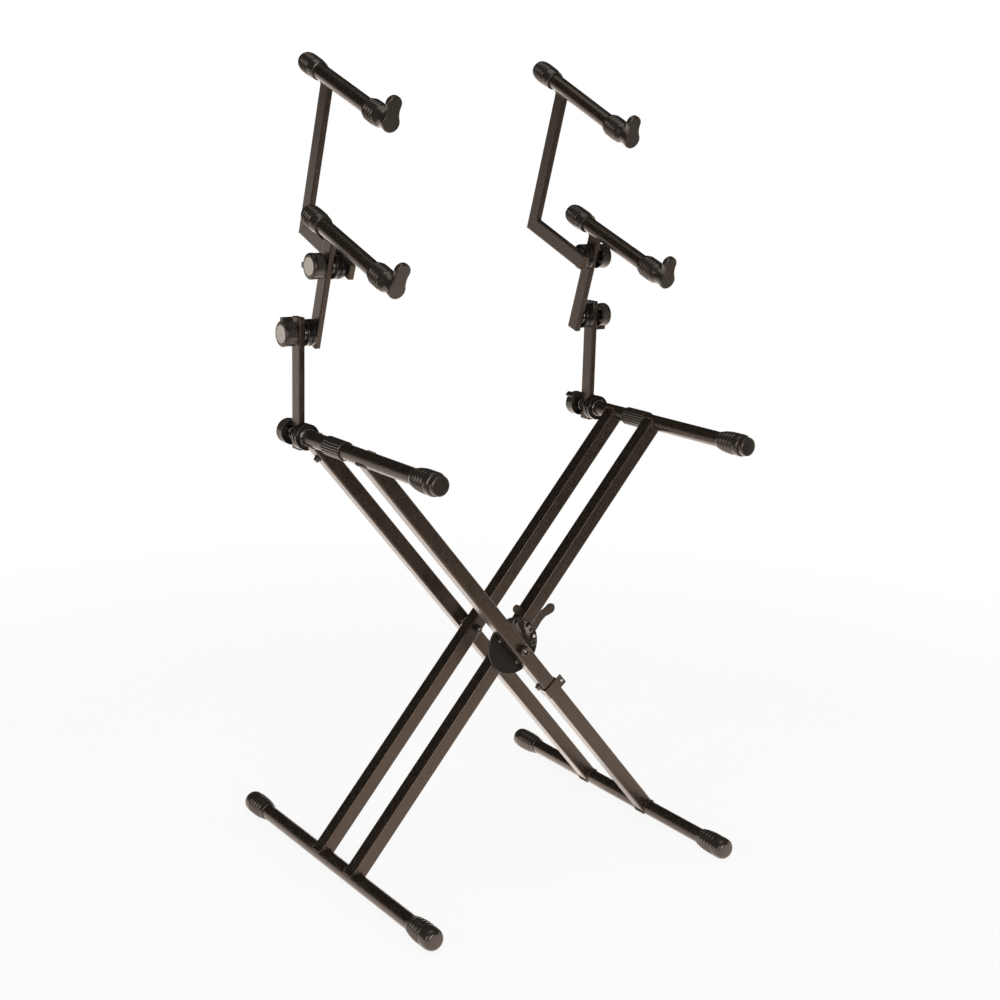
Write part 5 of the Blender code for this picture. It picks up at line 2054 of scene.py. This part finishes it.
@dataclass
class Studio:
    """The pale floor, the soft light and the camera."""

    floor_radius: float = 30.0
    floor_colour: Colour = (0.86, 0.85, 0.83)
    glow: float = 0.90
    shadow_reach: tuple[float, float] = (0.9, 2.2)
    near_reach: tuple[float, float] = (0.7, 1.9)
    near_glow: tuple[float, float] = (1.4, 0.08)
    rear_cosines: tuple[float, float] = (0.45, 0.80)
    rear_glow: float = 2.2
    side_cosines: tuple[float, float] = (-0.15, 0.35)
    side_glow: float = 1.1
    horizon: float = 0.10
    room: float = 0.03
    mirrored: Colour = (1.0, 0.92, 0.86)
    plain: float = 0.45
    aim: tuple[float, float, float] = (0.0, 0.0, 0.6)
    camera_place: tuple[float, float, float] = (-1.4734, -2.1015, 1.2028)
    azimuth: float = math.radians(-35.318)
    pitch: float = math.radians(13.514)
    roll: float = math.radians(1.617)
    lens: float = 58.65

    def build(self) -> None:
        """Build the floor, the world, the lamps and the camera."""
        self._floor()
        self._world()
        self._lamps()
        self._camera()
        bpy.context.scene.view_settings.view_transform = "Standard"

    @staticmethod
    def _rays(bench: NodeBench) -> tuple[bpy.types.NodeSocket, bpy.types.NodeSocket]:
        """Two masks: 1 for camera rays, and 1 for glossy and transmission rays."""
        path = bench.node("ShaderNodeLightPath").outputs
        shown = bench.math("MAXIMUM", path["Is Glossy Ray"], path["Is Transmission Ray"])
        return path["Is Camera Ray"], shown

    def _behind(
        self, bench: NodeBench, place: bpy.types.NodeSocket, cosines: tuple[float, float],
    ) -> bpy.types.NodeSocket:
        """How far a level direction points at the backdrop.

        The cosine between the direction and the level line on through the stand,
        spread between two cosines.

        Args:
            bench: The tree's bench.
            place: A direction, or a point of the floor.
            cosines: The cosines where the mask leaves 0 and reaches 1.

        Returns:
            A mask, 1 at the backdrop.
        """
        level = bench.node("ShaderNodeVectorMath", operation="MULTIPLY")
        bench.feed(level, 0, place)
        level.inputs[1].default_value = (1.0, 1.0, 0.0)
        along = bench.node("ShaderNodeVectorMath", operation="NORMALIZE")
        bench.feed(along, 0, level.outputs[0])
        toward = bench.node("ShaderNodeVectorMath", operation="DOT_PRODUCT")
        bench.feed(toward, 0, along.outputs[0])
        toward.inputs[1].default_value = (-math.sin(self.azimuth), math.cos(self.azimuth), 0.0)
        return bench.spread(toward.outputs["Value"], *cosines)

    def _floor(self) -> None:
        """Build the floor: a matt disc that is seen mostly as a plain glow, so it stays white.

        Camera rays see the glow's share of white near the stand, where the rest is matt
        and takes the shadow, and white alone past the shadow's reach. Mirrored rays see
        the floor glow, a painted reflection with no lamp behind it: up to 1.4 times white
        near the stand, up to 2.2 times behind it and 1.1 times on its left, and dim
        elsewhere, standing in for softboxes round a real stand.
        """
        rings = self.floor_radius * np.linspace(0.0, 1.0, 13) ** 2
        profile = np.stack([rings, np.full_like(rings, -0.0002)], axis=1)
        mesh = Skin().turn(profile, np.zeros(3), UP, EAST, 96).mesh("floor")
        floor = bpy.data.objects.new("floor", mesh)
        bpy.context.scene.collection.objects.link(floor)
        material = bpy.data.materials.new("pale_floor")
        material.use_nodes = True
        tree = material.node_tree
        tree.nodes.clear()
        bench = NodeBench(tree)
        place = bench.node("ShaderNodeTexCoord").outputs["Object"]
        soft = bench.spread(bench.noise(place, 1.5, 3.0), 0.3, 0.7)
        tint = bench.mix(soft, self.floor_colour, tuple(c * 0.98 for c in self.floor_colour))
        matt = bench.node("ShaderNodeBsdfDiffuse")
        bench.feed(matt, "Color", tint)
        camera, shown = self._rays(bench)
        far = bench.node("ShaderNodeVectorMath", operation="LENGTH")
        bench.feed(far, 0, place)
        out = far.outputs["Value"]
        # Floor glow seen only in mirrors, a painted reflection brighter than white near, behind and
        # left of the stand.
        mirror_glow = bench.spread(out, *self.near_reach, *self.near_glow)
        for cosines, level in (
            (self.rear_cosines, self.rear_glow), (self.side_cosines, self.side_glow),
        ):
            part = bench.math("MULTIPLY", self._behind(bench, place, cosines), level)
            mirror_glow = bench.math("MAXIMUM", mirror_glow, part)
        glow = bench.node("ShaderNodeEmission")
        bench.feed(glow, "Color", bench.mix(shown, (1.0, 1.0, 1.0), self.mirrored))
        bench.feed(glow, "Strength", bench.choose(camera, mirror_glow, 1.0))
        plain = bench.spread(out, *self.shadow_reach, self.glow, 1.0)
        seen = bench.math("MULTIPLY", camera, plain)
        mixed = bench.node("ShaderNodeMixShader")
        bench.feed(mixed, 0, bench.math("MAXIMUM", seen, shown))
        bench.feed(mixed, 1, matt.outputs[0])
        bench.feed(mixed, 2, glow.outputs[0])
        output = bench.node("ShaderNodeOutputMaterial")
        bench.feed(output, "Surface", mixed.outputs[0])
        material.cycles.emission_sampling = "NONE"
        mesh.materials.append(material)

    def _world(self) -> None:
        """Build the world: white to the camera, and in mirrors white at the backdrop's foot."""
        world = bpy.data.worlds.new("studio")
        bpy.context.scene.world = world
        world.use_nodes = True
        world.cycles.sampling_method = "NONE"
        tree = world.node_tree
        tree.nodes.clear()
        bench = NodeBench(tree)
        camera, shown = self._rays(bench)
        look = bench.node("ShaderNodeTexCoord").outputs["Generated"]
        split = bench.node("ShaderNodeSeparateXYZ")
        bench.feed(split, 0, look)
        low = bench.spread(split.outputs[2], 0.0, self.horizon, 1.0, 0.0)
        behind = bench.math("MULTIPLY", self._behind(bench, look, self.rear_cosines), low)
        level = bench.choose(shown, self.plain, bench.math("MAXIMUM", behind, self.room))
        background = bench.node("ShaderNodeBackground")
        bench.feed(background, "Color", bench.mix(shown, (1.0, 1.0, 1.0), self.mirrored))
        bench.feed(background, "Strength", bench.math("MAXIMUM", camera, level))
        bench.feed(bench.node("ShaderNodeOutputWorld"), "Surface", background.outputs[0])

    def _lamps(self) -> None:
        """Hang the soft lamps: on the right, overhead, on the left and in front."""
        for box in SOFTBOXES:
            lamp = bpy.data.lights.new(box.name, "AREA")
            lamp.shape = "RECTANGLE"
            lamp.size, lamp.size_y = box.size
            lamp.energy = box.power
            lamp.color = box.colour
            holder = bpy.data.objects.new(box.name, lamp)
            away = unit(np.array(box.place) - np.array(self.aim))
            axes = axes_of(away, np.cross(UP, away))
            turn = Matrix(axes.T.tolist()).to_4x4()
            turn.translation = box.place
            holder.matrix_world = turn
            bpy.context.scene.collection.objects.link(holder)

    def _camera(self) -> None:
        """Set the camera at the photograph's viewing angle."""
        sin_a, cos_a = math.sin(self.azimuth), math.cos(self.azimuth)
        sin_p, cos_p = math.sin(self.pitch), math.cos(self.pitch)
        ahead = np.array([-sin_a * cos_p, cos_a * cos_p, -sin_p])
        right = np.array([cos_a, sin_a, 0.0])
        up = np.cross(right, ahead)
        right, up = (
            math.cos(self.roll) * right + math.sin(self.roll) * up,
            -math.sin(self.roll) * right + math.cos(self.roll) * up,
        )
        lens = bpy.data.cameras.new("camera")
        lens.lens = self.lens
        lens.sensor_width = 36.0
        lens.clip_end = 60.0
        camera = bpy.data.objects.new("camera", lens)
        matrix = Matrix(np.stack([right, up, -ahead], axis=1).tolist()).to_4x4()
        matrix.translation = self.camera_place
        camera.matrix_world = matrix
        bpy.context.scene.collection.objects.link(camera)
        bpy.context.scene.camera = camera


def main() -> None:
    """Build the stand in order, then the studio round it."""
    logging.basicConfig(level=logging.INFO, format="%(message)s")
    shop = Workshop(FinishLibrary())
    for kind in Kind:
        LegFrame(kind, shop).build()
    Lock(shop).build()
    for side in Side:
        TierStack(side, shop).build()
    Studio().build()
    LOG.info("pieces made: %d", shop.made)


if __name__ == "__main__":
    main()
